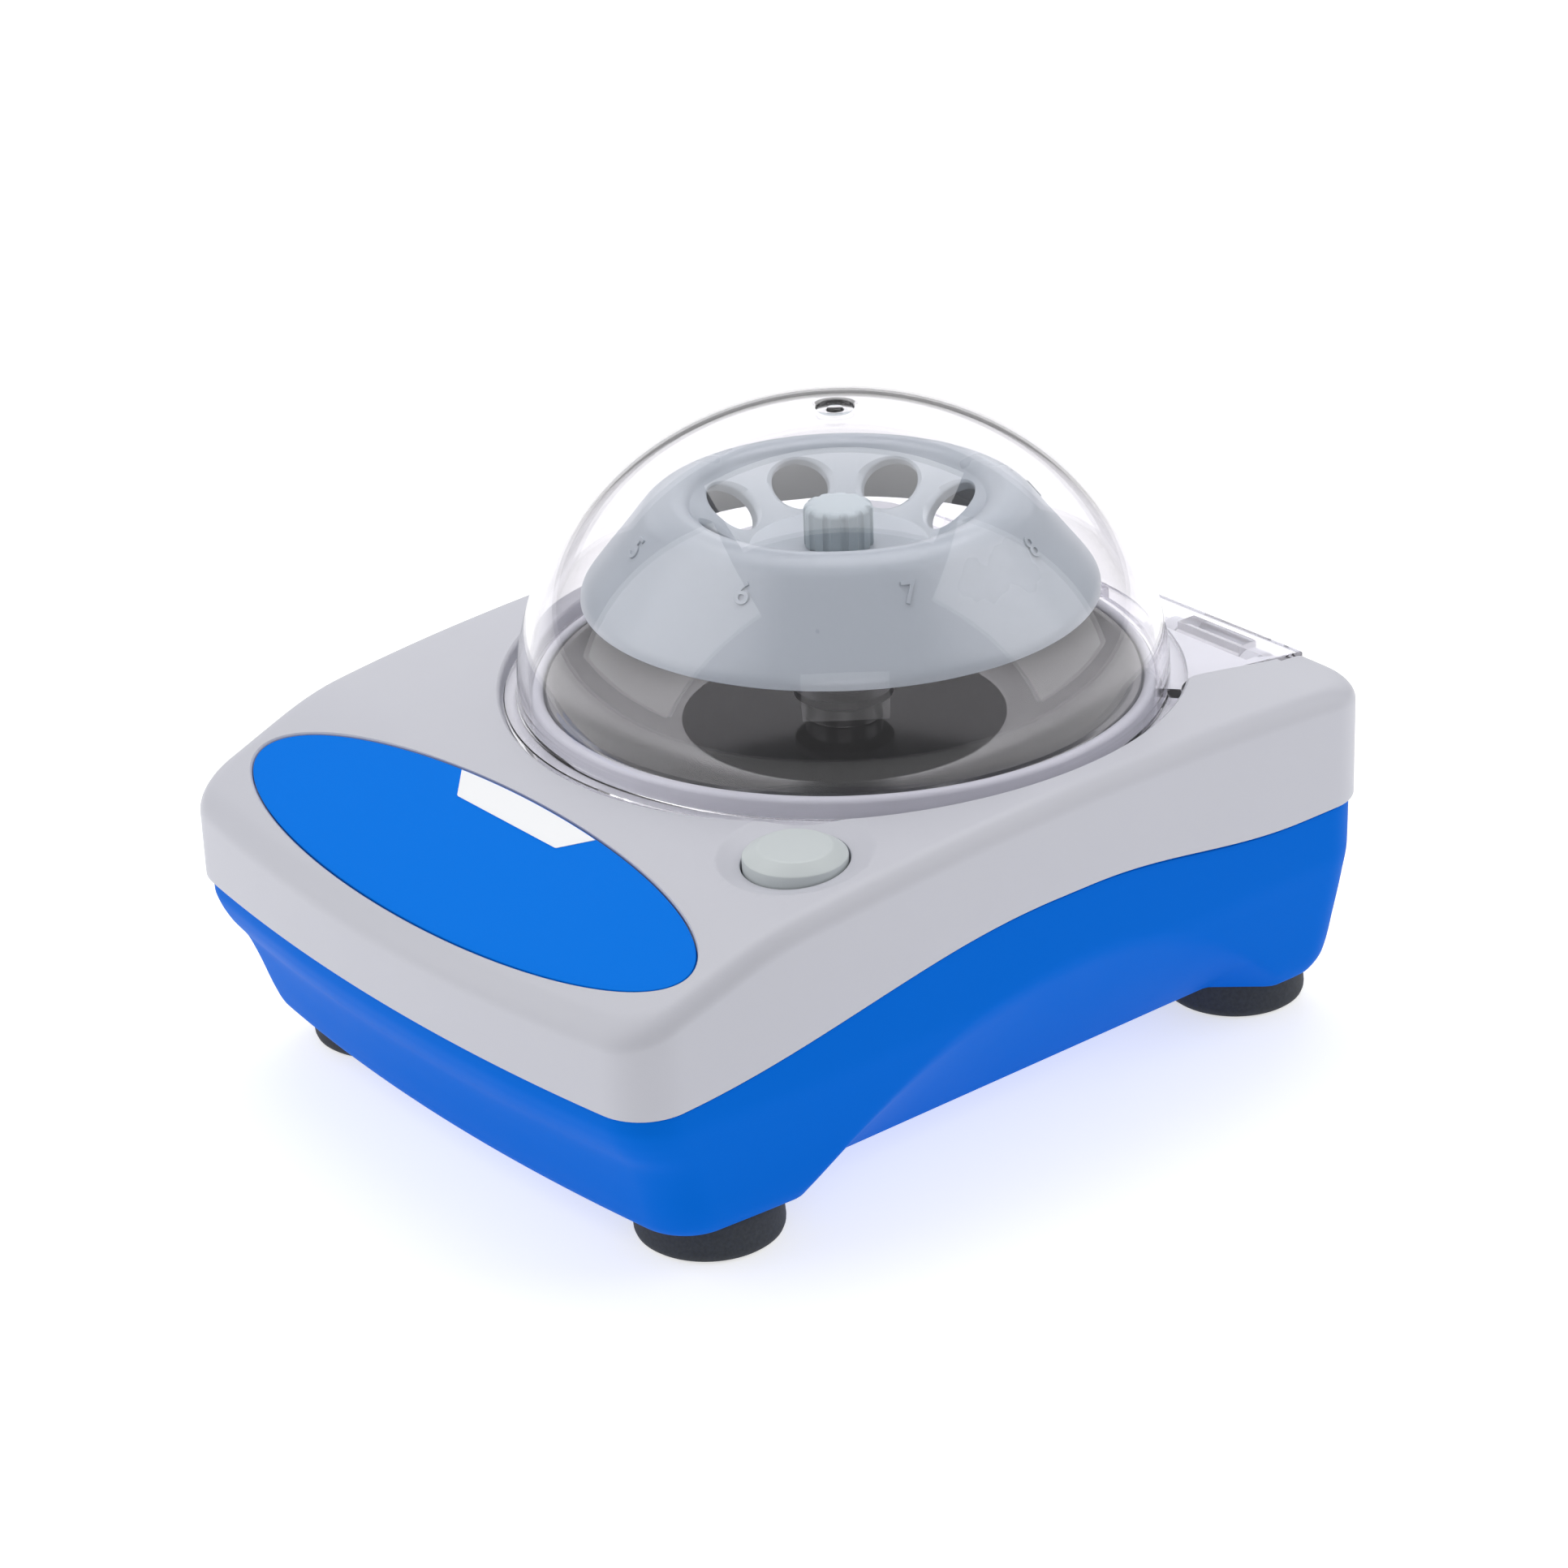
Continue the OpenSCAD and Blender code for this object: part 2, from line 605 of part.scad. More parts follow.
module motor_end_cap() {
    color([0.1, 0.1, 0.11]) at_rotor() difference() {
        union() {
            translate([0, 0, 13.6]) cylinder(h = can_z[0] - 13.6, r = can_r);
            translate([0, 0, 17]) cylinder(h = 3, r = can_r - can_t - 0.1);
        }
        translate([0, 0, 14.8]) cylinder(h = 10, r = bearing_r + grip);
        translate([0, 0, 18.2]) cylinder(h = 10, r = can_r - can_t - 2);
    }
    color("gold") at_rotor() for (x = [-10, 10]) translate([x - 1, -15.8, 12.4]) cube([2, 0.8, 1.4]);
}
module motor_bearings() {
    color([0.75, 0.6, 0.35]) at_rotor() {
        ring(shaft_r + run, bearing_r, 14.85, 18.1);
        ring(shaft_r + run, bearing_r, 46, 50);
    }
}
module motor_plate() {
    z = can_z[1] + grip;
    color([0.75, 0.76, 0.78]) at_rotor() difference() {
        union() {
            translate([0, 0, z]) cylinder(h = plate_t, r = 26);
            for (a = mount_angles) rotate([0, 0, a]) {
                translate([10, -8, z]) cube([mount_r - 10, 16, plate_t]);
                translate([mount_r, 0, z]) cylinder(h = plate_t, r = 8);
            }
        }
        cylinder(h = 90, r = 6.2);
        around(12, [0, 180]) cylinder(h = 90, r = 1.7);
        around(mount_r, mount_angles) cylinder(h = 90, r = 4);
    }
}
module motor_screws() {
    color("silver") at_rotor() around(12, [0, 180])
        screw(can_z[1] + plate_t + 2 * grip, 5, 1.5, 2.8, 2);
}
module motor_isolators() {
    groove = [can_z[1], can_z[1] + plate_t + 2 * grip];
    color([0.12, 0.12, 0.13]) at_rotor() around(mount_r, mount_angles) rotate_extrude() polygon([
        [1.7, post_top + grip], [6.4, post_top + grip], [6.4, groove[0]], [3.9, groove[0]],
        [3.9, groove[1]], [6.4, groove[1]], [6.4, groove[1] + 1.5], [1.7, groove[1] + 1.5]
    ]);
}
module isolator_screws() {
    color("silver") at_rotor() around(mount_r, mount_angles)
        screw(can_z[1] + plate_t + 1.5 + 4 * grip, 14, 1.5, 3.2, 2);
}

// ---- electronics ----

module circuit_board() {
    color([0.05, 0.4, 0.2]) difference() {
        translate([board_at[0] - board_size[0] / 2, board_at[1] - board_size[1] / 2, board_z + grip]) cube(board_size);
        both_sides() board_posts() cylinder(h = 40, r = 1.25);
    }
}
module on_board(x, y) translate([board_at[0] + x, board_at[1] + y, board_z + board_size[2] + 2 * grip]) children();
module capacitor() color([0.1, 0.12, 0.35]) on_board(-14, -6) cylinder(h = 14, r = 5);
module driver_chip() color([0.1, 0.1, 0.11]) on_board(-1, -7) cube([10, 8, 2]);
module board_connectors() {
    color("ivory") {
        on_board(-13, 10) cube([6, 5, 6]);
        on_board(2, 10) cube([6, 5, 6]);
        on_board(18, -3) cube([5, 6, 6]);
    }
}
module board_screws() {
    color("silver") both_sides() board_posts() screw(board_z + board_size[2] + 2 * grip, 5, 0.98, 1.9, 1.3);
}
module dc_jack() {
    back = half_d - 2.2;
    color([0.08, 0.08, 0.09]) difference() {
        union() {
            translate([jack_at[0], back - 4.5, jack_at[1]]) rotate([-90, 0, 0]) cylinder(h = 4.5, r = 5.5);
            translate([jack_at[0] - 5, back - 16, jack_at[1] - 6]) cube([10, 11.6, 12]);
        }
        translate([jack_at[0], back - 11, jack_at[1]]) rotate([-90, 0, 0]) cylinder(h = 14, r = 3.2);
    }
    color([0.08, 0.08, 0.09]) translate([jack_at[0] - 4, back - 16, inner_floor + grip]) cube([8, 9, jack_at[1] - 6 - inner_floor]);
}
module jack_pin() {
    color("gold") translate([jack_at[0], half_d - 2.2 - 11 + grip, jack_at[1]]) rotate([-90, 0, 0]) cylinder(h = 9.5, r = 1);
}

// ---- feet ----

module foot(at) {
    color([0.16, 0.17, 0.2]) translate(at) difference() {
        rotate_extrude() polygon([
            [0, 0], [foot_r - 1.6, 0], [foot_r - 0.5, 0.5], [foot_r, 1.6], [foot_r - 0.7, floor_z - grip], [0, floor_z - grip]
        ]);
        translate([0, 0, 3]) cylinder(h = 10, r = 1.5 + grip);
        translate([0, 0, -1]) cylinder(h = 4.6, r = 3.2);
    }
}
module foot_front_right() foot(front_foot);
module foot_front_left() foot([-front_foot[0], front_foot[1]]);
module foot_rear_right() foot(rear_foot);
module foot_rear_left() foot([-rear_foot[0], rear_foot[1]]);
module foot_screws() {
    color("silver") both_sides() for (p = [front_foot, rear_foot])
        translate([p[0], p[1], 3.6 - grip]) mirror([0, 0, 1]) screw(0, 10.5, 1.28, 2.8, 1.8);
}

// ---- wires ----

module motor_leads() {
    for (s = [-1, 1]) color(s > 0 ? "red" : "black") wire([
        [s * 10, rotor_y - 16.5, 12.9], [s * 9.6, 0, 12.5], [s * 7, -8, 12.7], [s * 3 - 10, -15, 15],
        [s * 1.5 - 10, -19, 21], [s * 1.5 - 10, -23, 25.5], [s * 1.5 - 10, -27, 27], [s * 1.5 - 10, -29.5, 25]
    ], wire_r);
}
module switch_leads() {
    x = button_at[0];
    y = button_at[1];
    for (s = [-1, 1]) color("gray") wire([
        [x + 3 * s, y, switch_z - 4.2], [x + 3 * s, y - 1 - 1.5 * s, 29], [x - 7, y - 2 - 1.5 * s, 26],
        [x - 16, y - 5 - 1.5 * s, 25.2], [x - 26, y - 7 - 1.5 * s, 26.5], [x - 31, y - 7 - 1.5 * s, 25.4]
    ], wire_r);
}
module jack_leads() {
    x = jack_at[0];
    for (s = [-1, 1]) color(s > 0 ? "red" : "black") wire([
        [x + 1.5 * s, half_d - 18.5, jack_at[1] + 2], [x + 1.5 * s, half_d - 23, jack_at[1]],
        [x + 1.5 * s, 55, 16], [x + 1.5 * s - 2.5, 40, 12.9], [x + 1.5 * s - 3, 4, 12.7], [x + 1.5 * s - 1, -10 + 0.5 * s, 12.7],
        [-27, -17.5 + 1.5 * s, 12.7], [-4, -18 + 1.5 * s, 12.7], [3 + s, -20 + s, 17],
        [5 + 1.5 * s, -23, 24], [5 + 1.5 * s, -26.5, 26.5], [5 + 1.5 * s, -29.3, 24.8]
    ], wire_r);
}

upper_housing();
lid_seat();
lower_housing();
front_panel();
label_tab();
lid();
hinge_pins();
lid_magnet();
lid_sensor();
power_button();
switch_plunger();
button_spring();
power_switch();
chamber_bowl();
bowl_gasket();
bowl_screws();
rotor();
rotor_hub();
rotor_knob();
shaft_adapter();
motor_shaft();
motor_armature();
motor_magnets();
motor_can();
motor_end_cap();
motor_bearings();
motor_plate();
motor_screws();
motor_isolators();
isolator_screws();
circuit_board();
capacitor();
driver_chip();
board_connectors();
board_screws();
dc_jack();
jack_pin();
foot_front_left();
foot_front_right();
foot_rear_left();
foot_rear_right();
foot_screws();
housing_screws();
motor_leads();
switch_leads();
jack_leads();
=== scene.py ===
"""Looks of the mini centrifuge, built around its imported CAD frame.

Shapes are in millimetres until they become meshes; the studio is in metres.
"""

import math

import bmesh
import bpy
import numpy as np
from mathutils import Matrix, Vector


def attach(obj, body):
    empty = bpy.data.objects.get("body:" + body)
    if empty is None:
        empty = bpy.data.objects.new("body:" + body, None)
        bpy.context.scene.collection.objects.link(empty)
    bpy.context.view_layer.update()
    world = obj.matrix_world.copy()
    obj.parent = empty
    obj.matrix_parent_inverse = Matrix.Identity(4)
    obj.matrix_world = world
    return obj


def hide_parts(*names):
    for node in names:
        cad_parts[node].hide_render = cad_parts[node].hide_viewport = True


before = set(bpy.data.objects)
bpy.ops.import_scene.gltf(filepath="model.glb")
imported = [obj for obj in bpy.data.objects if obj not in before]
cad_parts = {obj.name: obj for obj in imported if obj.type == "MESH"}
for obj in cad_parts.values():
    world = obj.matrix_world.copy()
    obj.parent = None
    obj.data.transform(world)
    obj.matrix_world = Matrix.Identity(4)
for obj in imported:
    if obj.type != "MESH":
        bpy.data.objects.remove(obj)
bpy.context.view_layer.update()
MM = 0.001

# Sizes shared with the CAD source, in millimetres
HALF_W, HALF_D = 72.5, 90.0
FLOOR_Z, WALL = 8.0, 2.5
CROWN_Z, SLOPE = 71.3, 0.36
PANEL_A, PANEL_B, PANEL_Y, PANEL_Z = 64.7, 17.1, -69.6, 60.0
ROTOR_Y = 20.0
DOME_R, DOME_H, DOME_Z, LID_WALL = 62.0, 54.0, 68.0, 2.2
RECESS_R, MOAT_Z, LIP_Z, LIP_R = 65.2, 65.1, 70.0, 57.0
BED_Z, FLAP_Z, FLAP_T, FLAP_BACK = 66.5, 66.9, 2.0, 88.6
HINGE_Y, HINGE_Z, BARREL_R = 85.0, 61.8, 4.2
BUTTON = (52.8, -35.5)
BUTTON_R, HOLE_R = 9.4, 9.7
SEAM_GAP = 0.25
FLAP_CORNER, FLAP_RUN = (48.5, 62.0), (5.6, 26.6)  # where the flap's side starts, and its direction
POCKET_Z, POCKET_Y, MAGNET_Y = 57.2, 79.9, 84.2  # floor of the rear pockets, and their front edges
POCKET_X, MAGNET_X = (21.3, 47.7), 6.0  # sides of a hinge pocket, half-width of the magnet's
POCKET_WALL = 1.6
PIN_R, BARREL_X, EARS_X, EAR_T = 1.6, (26.0, 43.0), (22.1, 43.4), 3.5
POST_R, BASE_SCREWS = 4.5, ((26, -68, 38.6), (28, 78.5, 44.6))  # x, y and height of the screw posts
MOTOR_POSTS_AT, MOTOR_POST_TOP = 38, 46.5
BOARD_POST_X, BOARD_Y, BOARD_HALF, BOARD_POST_TOP, BOARD_POST_R = 24.5, -42, 14.5, 16, 2.6
VENTS_Y, VENT_HALF = (-16, -8, 0, 8, 16), (20, 1.5)
JACK_AT, JACK_R = (-38, 80, 24), 5.7
FEET = {"front": (50.7, -56.4), "rear": (49.5, 75.5)}
BOWL_FLOOR_R, BOWL_FLOOR_Z, BOWL_RUN, BOWL_RISE = 31, 60, 24.2, 9.3
BOWL_SCREWS_AT = 59.5
TUBES, TUBE_TILT, TUBE_PHASE, TUBE_AT = 8, math.radians(38.7), 24.0, (22.1, 98.95)


# ---------------------------------------------------------------- mesh helpers
def make(name, verts, faces):
    """A mesh object from points in millimetres, with its normals facing out."""
    mesh = bpy.data.meshes.new(name)
    mesh.from_pydata((np.asarray(verts, float) * MM).tolist(), [], faces)
    obj = bpy.data.objects.new(name, mesh)
    bpy.context.scene.collection.objects.link(obj)
    bm = bmesh.new()
    bm.from_mesh(mesh)
    bmesh.ops.remove_doubles(bm, verts=bm.verts, dist=1e-7)
    bmesh.ops.recalc_face_normals(bm, faces=bm.faces)
    if bm.calc_volume(signed=True) < 0:
        bmesh.ops.reverse_faces(bm, faces=bm.faces)
    bm.to_mesh(mesh)
    bm.free()
    return obj


def loft(name, rings, fan=True):
    """A solid through rings of equal length, capped at both ends by a fan or by one flat face each."""
    n, last = len(rings[0]), len(rings)
    verts = [p for ring in rings for p in ring]
    faces = []
    for k in range(last - 1):
        a, b = k * n, (k + 1) * n
        faces += [(a + i, a + (i + 1) % n, b + (i + 1) % n, b + i) for i in range(n)]
    if not fan:
        faces += [tuple(range(n))[::-1], tuple(range((last - 1) * n, last * n))]
    else:
        for ring, base, flip in ((rings[0], 0, True), (rings[-1], (last - 1) * n, False)):
            verts.append(np.mean(ring, axis=0))
            tip = len(verts) - 1
            for i in range(n):
                a, b = base + i, base + (i + 1) % n
                faces.append((tip, b, a) if flip else (tip, a, b))
    return make(name, verts, faces)


def revolve(name, profile, centre=(0.0, ROTOR_Y), segments=192):
    """A solid of revolution from a closed profile of (radius, height) points; points on the axis become poles."""
    verts, rows = [], []
    for r, z in profile:
        if r < 1e-6:
            rows.append([len(verts)] * segments)
            verts.append((centre[0], centre[1], z))
        else:
            rows.append(list(range(len(verts), len(verts) + segments)))
            for k in range(segments):
                a = 2 * math.pi * k / segments
                verts.append((centre[0] + r * math.cos(a), centre[1] + r * math.sin(a), z))
    faces = []
    for k in range(len(rows)):
        low, high = rows[k], rows[(k + 1) % len(rows)]
        for i in range(segments):
            j = (i + 1) % segments
            face = []
            for v in (low[i], low[j], high[j], high[i]):
                if v not in face:
                    face.append(v)
            if len(face) > 2:
                faces.append(tuple(face))
    return make(name, verts, faces)


def cylinder(name, x, y, z0, z1, r, segments=96):
    return revolve(name, [(0, z0), (r, z0), (r, z1), (0, z1)], (x, y), segments)


def bar(name, x0, x1, side, fan=True):
    """A bar along X from its side view, drawn as (y, z) points."""
    return loft(name, [[(x, y, z) for y, z in side] for x in (x0, x1)], fan)


def cylinder_x(name, x0, x1, y, z, r, segments=64):
    turns = [2 * math.pi * k / segments for k in range(segments)]
    return bar(name, x0, x1, [(y + r * math.cos(a), z + r * math.sin(a)) for a in turns])


def block(name, low, high):
    (x0, y0, z0), (x1, y1, z1) = low, high
    return loft(name, [[(x0, y0, z), (x1, y0, z), (x1, y1, z), (x0, y1, z)] for z in (z0, z1)])


def combine(target, others, operation):
    """Applies booleans of target with each of the others, which are used up."""
    for other in others:
        step = target.modifiers.new("step", "BOOLEAN")
        step.object, step.operation, step.solver = other, operation, "MANIFOLD"
    bpy.context.view_layer.update()
    graph = bpy.context.evaluated_depsgraph_get()
    result = bpy.data.meshes.new_from_object(target.evaluated_get(graph))
    target.modifiers.clear()
    target.data = result
    for other in others:
        bpy.data.objects.remove(other)
    return target


def shade(obj, angle=32, weighted=True):
    """Smooth shading that breaks at edges sharper than the angle, with normals weighted towards the large faces."""
    bm = bmesh.new()
    bm.from_mesh(obj.data)
    bmesh.ops.dissolve_degenerate(bm, edges=bm.edges, dist=1e-7)
    for face in bm.faces:
        face.smooth = True
    for edge in bm.edges:
        edge.smooth = len(edge.link_faces) == 2 and edge.calc_face_angle(0) < math.radians(angle)
    bm.to_mesh(obj.data)
    bm.free()
    if weighted:
        step = obj.modifiers.new("normals", "WEIGHTED_NORMAL")
        step.keep_sharp = True
    return obj


def spline(points, steps=6):
    """Catmull-Rom curve through (radius, height) points, ends included."""
    p = np.asarray(points, float)
    p = np.vstack([2 * p[0] - p[1], p, 2 * p[-1] - p[-2]])
    out = []
    for i in range(1, len(p) - 2):
        for t in np.arange(steps) / steps:
            out.append(0.5 * (2 * p[i] + (p[i + 1] - p[i - 1]) * t
                              + (2 * p[i - 1] - 5 * p[i] + 4 * p[i + 1] - p[i + 2]) * t * t
                              + (3 * p[i] - p[i - 1] - 3 * p[i + 1] + p[i + 2]) * t ** 3))
    out.append(p[-2])
    return [tuple(q) for q in out]


def arc(cx, cy, r, a0, a1, n):
    t = np.radians(np.linspace(a0, a1, n + 1))
    return np.c_[cx + r * np.cos(t), cy + r * np.sin(t)]


# ---------------------------------------------------------------- housing shape
# The plan: a bowed front between rounded corners, and a straight back
BOW_R, FRONT_R, REAR_R = 452.0, 11.0, 10.0
FRONT_X = HALF_W - 12.9
BOW_A = math.degrees(math.asin(FRONT_X / (BOW_R - FRONT_R)))
FRONT_Y = BOW_R - HALF_D - (BOW_R - FRONT_R) * math.cos(math.radians(BOW_A))


def plan_outline(step):
    """Plan outline of the body, counter-clockwise from the middle of its front."""
    bow = arc(0, BOW_R - HALF_D, BOW_R, -90, -90 + BOW_A, int(58 / step))[1:-1]
    front = arc(FRONT_X, FRONT_Y, FRONT_R, -90 + BOW_A, 0, 14)
    ys = np.linspace(FRONT_Y, HALF_D - REAR_R, int(155 / step))[1:-1]
    xs = HALF_W - (HALF_W - FRONT_X - FRONT_R) * (np.maximum(0, -20 - ys) / (-20 - FRONT_Y)) ** 2
    rear = arc(HALF_W - REAR_R, HALF_D - REAR_R, REAR_R, 0, 90, 14)
    back = np.c_[np.linspace(HALF_W - REAR_R, 0, int(62 / step))[1:-1], np.full(int(62 / step) - 2, HALF_D)]
    half = np.vstack([bow, front, np.c_[xs, ys], rear, back])
    return np.vstack([[[0, -HALF_D]], half, [[0, HALF_D]], half[::-1] * [-1, 1]])


def ease(t):
    return 0.5 - 0.5 * np.cos(np.pi * np.clip(t, 0, 1))


def seam(y):
    y = np.asarray(y, float)
    return np.where(y < 12, 37.5 + 12.9 * ease((y + HALF_D) / 98), 50.4 - 5.4 * ease((y - 17) / 54))


def top(x, y):
    """Height of the housing's top: a crown behind and a slope in front, blended where they meet."""
    x, y = np.asarray(x, float), np.asarray(y, float)
    crown = CROWN_Z - (y - 28) ** 2 / np.where(y < 28, 1300, 1700) - 0.7 * (x / 70) ** 2
    slope = PANEL_Z + SLOPE * (y - PANEL_Y)
    return np.minimum(crown, slope) - np.maximum(1.5 - np.abs(crown - slope), 0) ** 2 / 6


def monotone(table):
    """Smooth monotone curve through (z, value) pairs."""
    z, v = np.array(table, float).T
    h, d = np.diff(z), np.diff(v) / np.diff(z)
    m = np.r_[d[0], np.where(d[:-1] * d[1:] > 0, 2 * d[:-1] * d[1:] / (d[:-1] + d[1:] + 1e-12), 0), d[-1]]

    def at(q):
        q = np.clip(np.asarray(q, float), z[0], z[-1])
        i = np.clip(np.searchsorted(z, q) - 1, 0, len(h) - 1)
        t = (q - z[i]) / h[i]
        return ((1 + 2 * t) * (1 - t) ** 2 * v[i] + t * (1 - t) ** 2 * h[i] * m[i]
                + t * t * (3 - 2 * t) * v[i + 1] + t * t * (t - 1) * h[i] * m[i + 1])
    return at


# How far the lower housing draws in from the outline at each height
FRONT_IN = monotone([(8, 13.4), (9, 12.1), (12, 10.9), (20, 8.3), (24.5, 6.5), (29, 3.4), (32, 1.9),
                     (35, 1.05), (53, 0.8)])
SIDE_IN = monotone([(8, 7.0), (9, 5.7), (12, 4.5), (20, 3.2), (29, 1.8), (35, 1.0), (53, 0.8)])
REAR_IN = monotone([(8, 6.4), (9, 4.7), (12, 3.1), (20, 1.9), (29, 0.95), (35, 0.55), (53, 0.5)])
ARCH_Y, ARCH_RISE, ARCH_FOOT = 17.0, 27.4, 57.0
ARCH_FRONT, ARCH_REAR = 68, 56  # its reach before and behind its crown


def arch_limit(y, z):
    """Half-width left by the arched cut in each side, wide open above the arch's edge."""
    t = np.where(y < ARCH_Y, (ARCH_Y - y) / ARCH_FRONT, (y - ARCH_Y) / ARCH_REAR)
    edge = np.where(t < 1, FLOOR_Z + ARCH_RISE * np.cos(np.pi / 2 * np.clip(t, 0, 1) ** 1.15), FLOOR_Z)
    side = HALF_W - SIDE_IN(edge)
    foot = np.minimum(ARCH_FOOT + 50 * np.maximum(0, t - 0.78), side)
    slope = (side - foot) / np.maximum(edge - FLOOR_Z, 0.5)
    above = HALF_W - SIDE_IN(z) + np.maximum(slope, 0.35) * (z - edge)
    return np.where(t >= 1, 999, np.where(z > edge, above, foot + slope * (z - FLOOR_Z)))


def tub_ring(plan, share, inset, low):
    """Ring of the lower housing at a share of the way from its underside up to the seam."""
    x, y = plan.T
    z = low + share * (seam(y) - SEAM_GAP - low)
    draw = np.where(y < 0, FRONT_IN(z), REAR_IN(z)) * np.minimum(1, np.abs(y) / 30)
    yy = y * (HALF_D - draw - inset) / HALF_D
    xx = np.abs(x) * (HALF_W - SIDE_IN(z) - inset) / HALF_W
    limit = arch_limit(yy, z) - inset
    soft = np.maximum(1.2 - np.abs(xx - limit), 0) ** 2 / 4.8
    return np.c_[np.sign(x) * (np.minimum(xx, limit) - soft), yy, z]


def lid_plan(o, back=95.0):
    """Plan outline of the lid's seat, grown by o: a circle that runs into the flap's sides."""
    along = np.array(FLAP_RUN) / math.hypot(*FLAP_RUN)
    normal = np.array([along[1], -along[0]])
    start = np.array(FLAP_CORNER) + normal * 0.5
    middle = np.array([0, ROTOR_Y])
    f = 4.6  # corner radius
    rel = start + f * normal - middle
    s = -rel @ along + math.sqrt((rel @ along) ** 2 - rel @ rel + (RECESS_R + f) ** 2)
    c = rel + s * along + middle
    a_circle = math.degrees(math.atan2(c[1] - ROTOR_Y, c[0]))
    a_line = math.degrees(math.atan2(-normal[1], -normal[0]))
    circle = arc(0, ROTOR_Y, RECESS_R + o, -90, a_circle, 90)
    corner = arc(c[0], c[1], f - o, a_circle + 180, 360 + a_line if a_line < 0 else a_line, 10)
    foot = c - (f - o) * normal
    line = [foot + along * (back - foot[1]) / along[1] * t for t in (0.25, 0.5, 0.75, 1.0)]
    half = np.vstack([circle, corner[1:], line])
    return np.vstack([half, half[::-1][:-1] * [-1, 1]])


def seat(name, plan, low, round_r=0.9):
    """Cutter under the top surface that rounds the edge it leaves; plan(o) is its outline grown by o."""
    p = plan(0)
    rings = [np.c_[p, np.full(len(p), low)]]
    for a in np.radians([0, 20, 40, 58, 72]):
        o, drop = round_r * (1 - math.cos(a)), round_r * (1 - math.sin(a))
        p = plan(o)
        rings.append(np.c_[p, np.maximum(top(*p.T) - drop, low + 0.05 + 0.2 * o)])
    p = plan(round_r)
    rings += [np.c_[p, top(*p.T) + rise] for rise in (0.4, 12)]
    return loft(name, rings)


def under(name, plan, low, drop=1.2):
    """Block from a level up to just under the top surface."""
    p = np.asarray(plan, float)
    return loft(name, [np.c_[p, np.full(len(p), low)], np.c_[p, top(*p.T) - drop]])


def rect(x0, x1, y0, y1):
    return [(x0, y0), (x1, y0), (x1, y1), (x0, y1)]


def disc_plan(centre, r, n=144):
    t = np.linspace(0, 2 * np.pi, n, endpoint=False)
    return np.c_[centre[0] + r * np.cos(t), centre[1] + r * np.sin(t)]


def on_panel(u, v, w):
    """Points on the sloped front, from its own coordinates: across, up the slope and out of it."""
    tilt = math.atan(SLOPE)
    return np.c_[u, PANEL_Y + v * math.cos(tilt) - w * math.sin(tilt),
                 PANEL_Z + v * math.sin(tilt) + w * math.cos(tilt)]


def panel_oval(grow, w, n):
    t = np.linspace(0, 2 * np.pi, n, endpoint=False)
    return on_panel((PANEL_A + grow) * np.cos(t), (PANEL_B + grow) * np.sin(t), w)


def cap_rings(plan, inset, r, low):
    """Rings from the bottom of the wall over the fillet to the middle of the top."""
    def grown(o):
        return plan * [(HALF_W - o) / HALF_W, (HALF_D - o) / HALF_D]

    edge = grown(inset)
    rise = top(*edge.T) - inset - r - low
    rings = [np.c_[edge, low + rise * t] for t in (0, 0.25, 0.5, 0.75)]
    for a in np.radians(np.linspace(0, 90, 10)):
        p = grown(inset + r * (1 - math.cos(a)))
        rings.append(np.c_[p, top(*p.T) - inset - r * (1 - math.sin(a))])
    for k in np.linspace(0.97, 0.02, 32 if inset == 0 else 12):
        p = grown(inset + r) * k
        rings.append(np.c_[p, top(*p.T) - inset])
    return rings, grown


def button_dish(r, depth):
    p = disc_plan(BUTTON, r, 96)
    return np.c_[p, top(*p.T) - depth]


def upper_cutters():
    """Lid seat, chamber mouth, rear pockets, the lid's swing, the panel's recess and the button's dish."""
    clear_of_lid = [(95, 61), (95, 80)]
    notch = [(82, BED_Z), (87.6, 65), (89, 62.4)] + clear_of_lid + [(82, 80)]
    swing = [(79, 65), (84.6, 65), (86.6, 64.6), (87.8, 63.6), (88.4, 62.2)] + clear_of_lid + [(79, 80)]
    (x0, x1), rear, high = POCKET_X, 100, 80
    panel = [(0, -1.4), (0, -0.5), (0.12, -0.22), (0.4, 0.0), (1.0, 0.25), (1.0, 8)]
    dish = [(HOLE_R, 1.75), (HOLE_R + 0.12, 1.5), (HOLE_R + 0.4, 1.35), (11.4, 1.12), (12.6, 0.7),
            (13.6, 0.26), (14.3, -0.05), (14.6, -0.6), (14.6, -9)]
    hole = np.c_[disc_plan(BUTTON, HOLE_R, 96), np.full(96, 56.0)]
    return [
        seat("seat_cut", lid_plan, BED_Z),
        cylinder("moat", 0, ROTOR_Y, MOAT_Z, high, RECESS_R, 256),
        cylinder("mouth", 0, ROTOR_Y, 50, 90, LIP_R, 256),
        block("magnet_pocket", (-MAGNET_X, MAGNET_Y, POCKET_Z), (MAGNET_X, rear, high)),
        block("hinge_pocket", (x0, POCKET_Y, POCKET_Z), (x1, rear, high)),
        block("hinge_pocket", (-x1, POCKET_Y, POCKET_Z), (-x0, rear, high)),
        bar("notch", -54.9, 54.9, notch, False),
        bar("swing", -22, 22, swing, False),
        loft("panel_recess", [panel_oval(grow, w, 160) for grow, w in panel]),
        loft("button_hole", [hole] + [button_dish(r, depth) for r, depth in dish]),
    ]


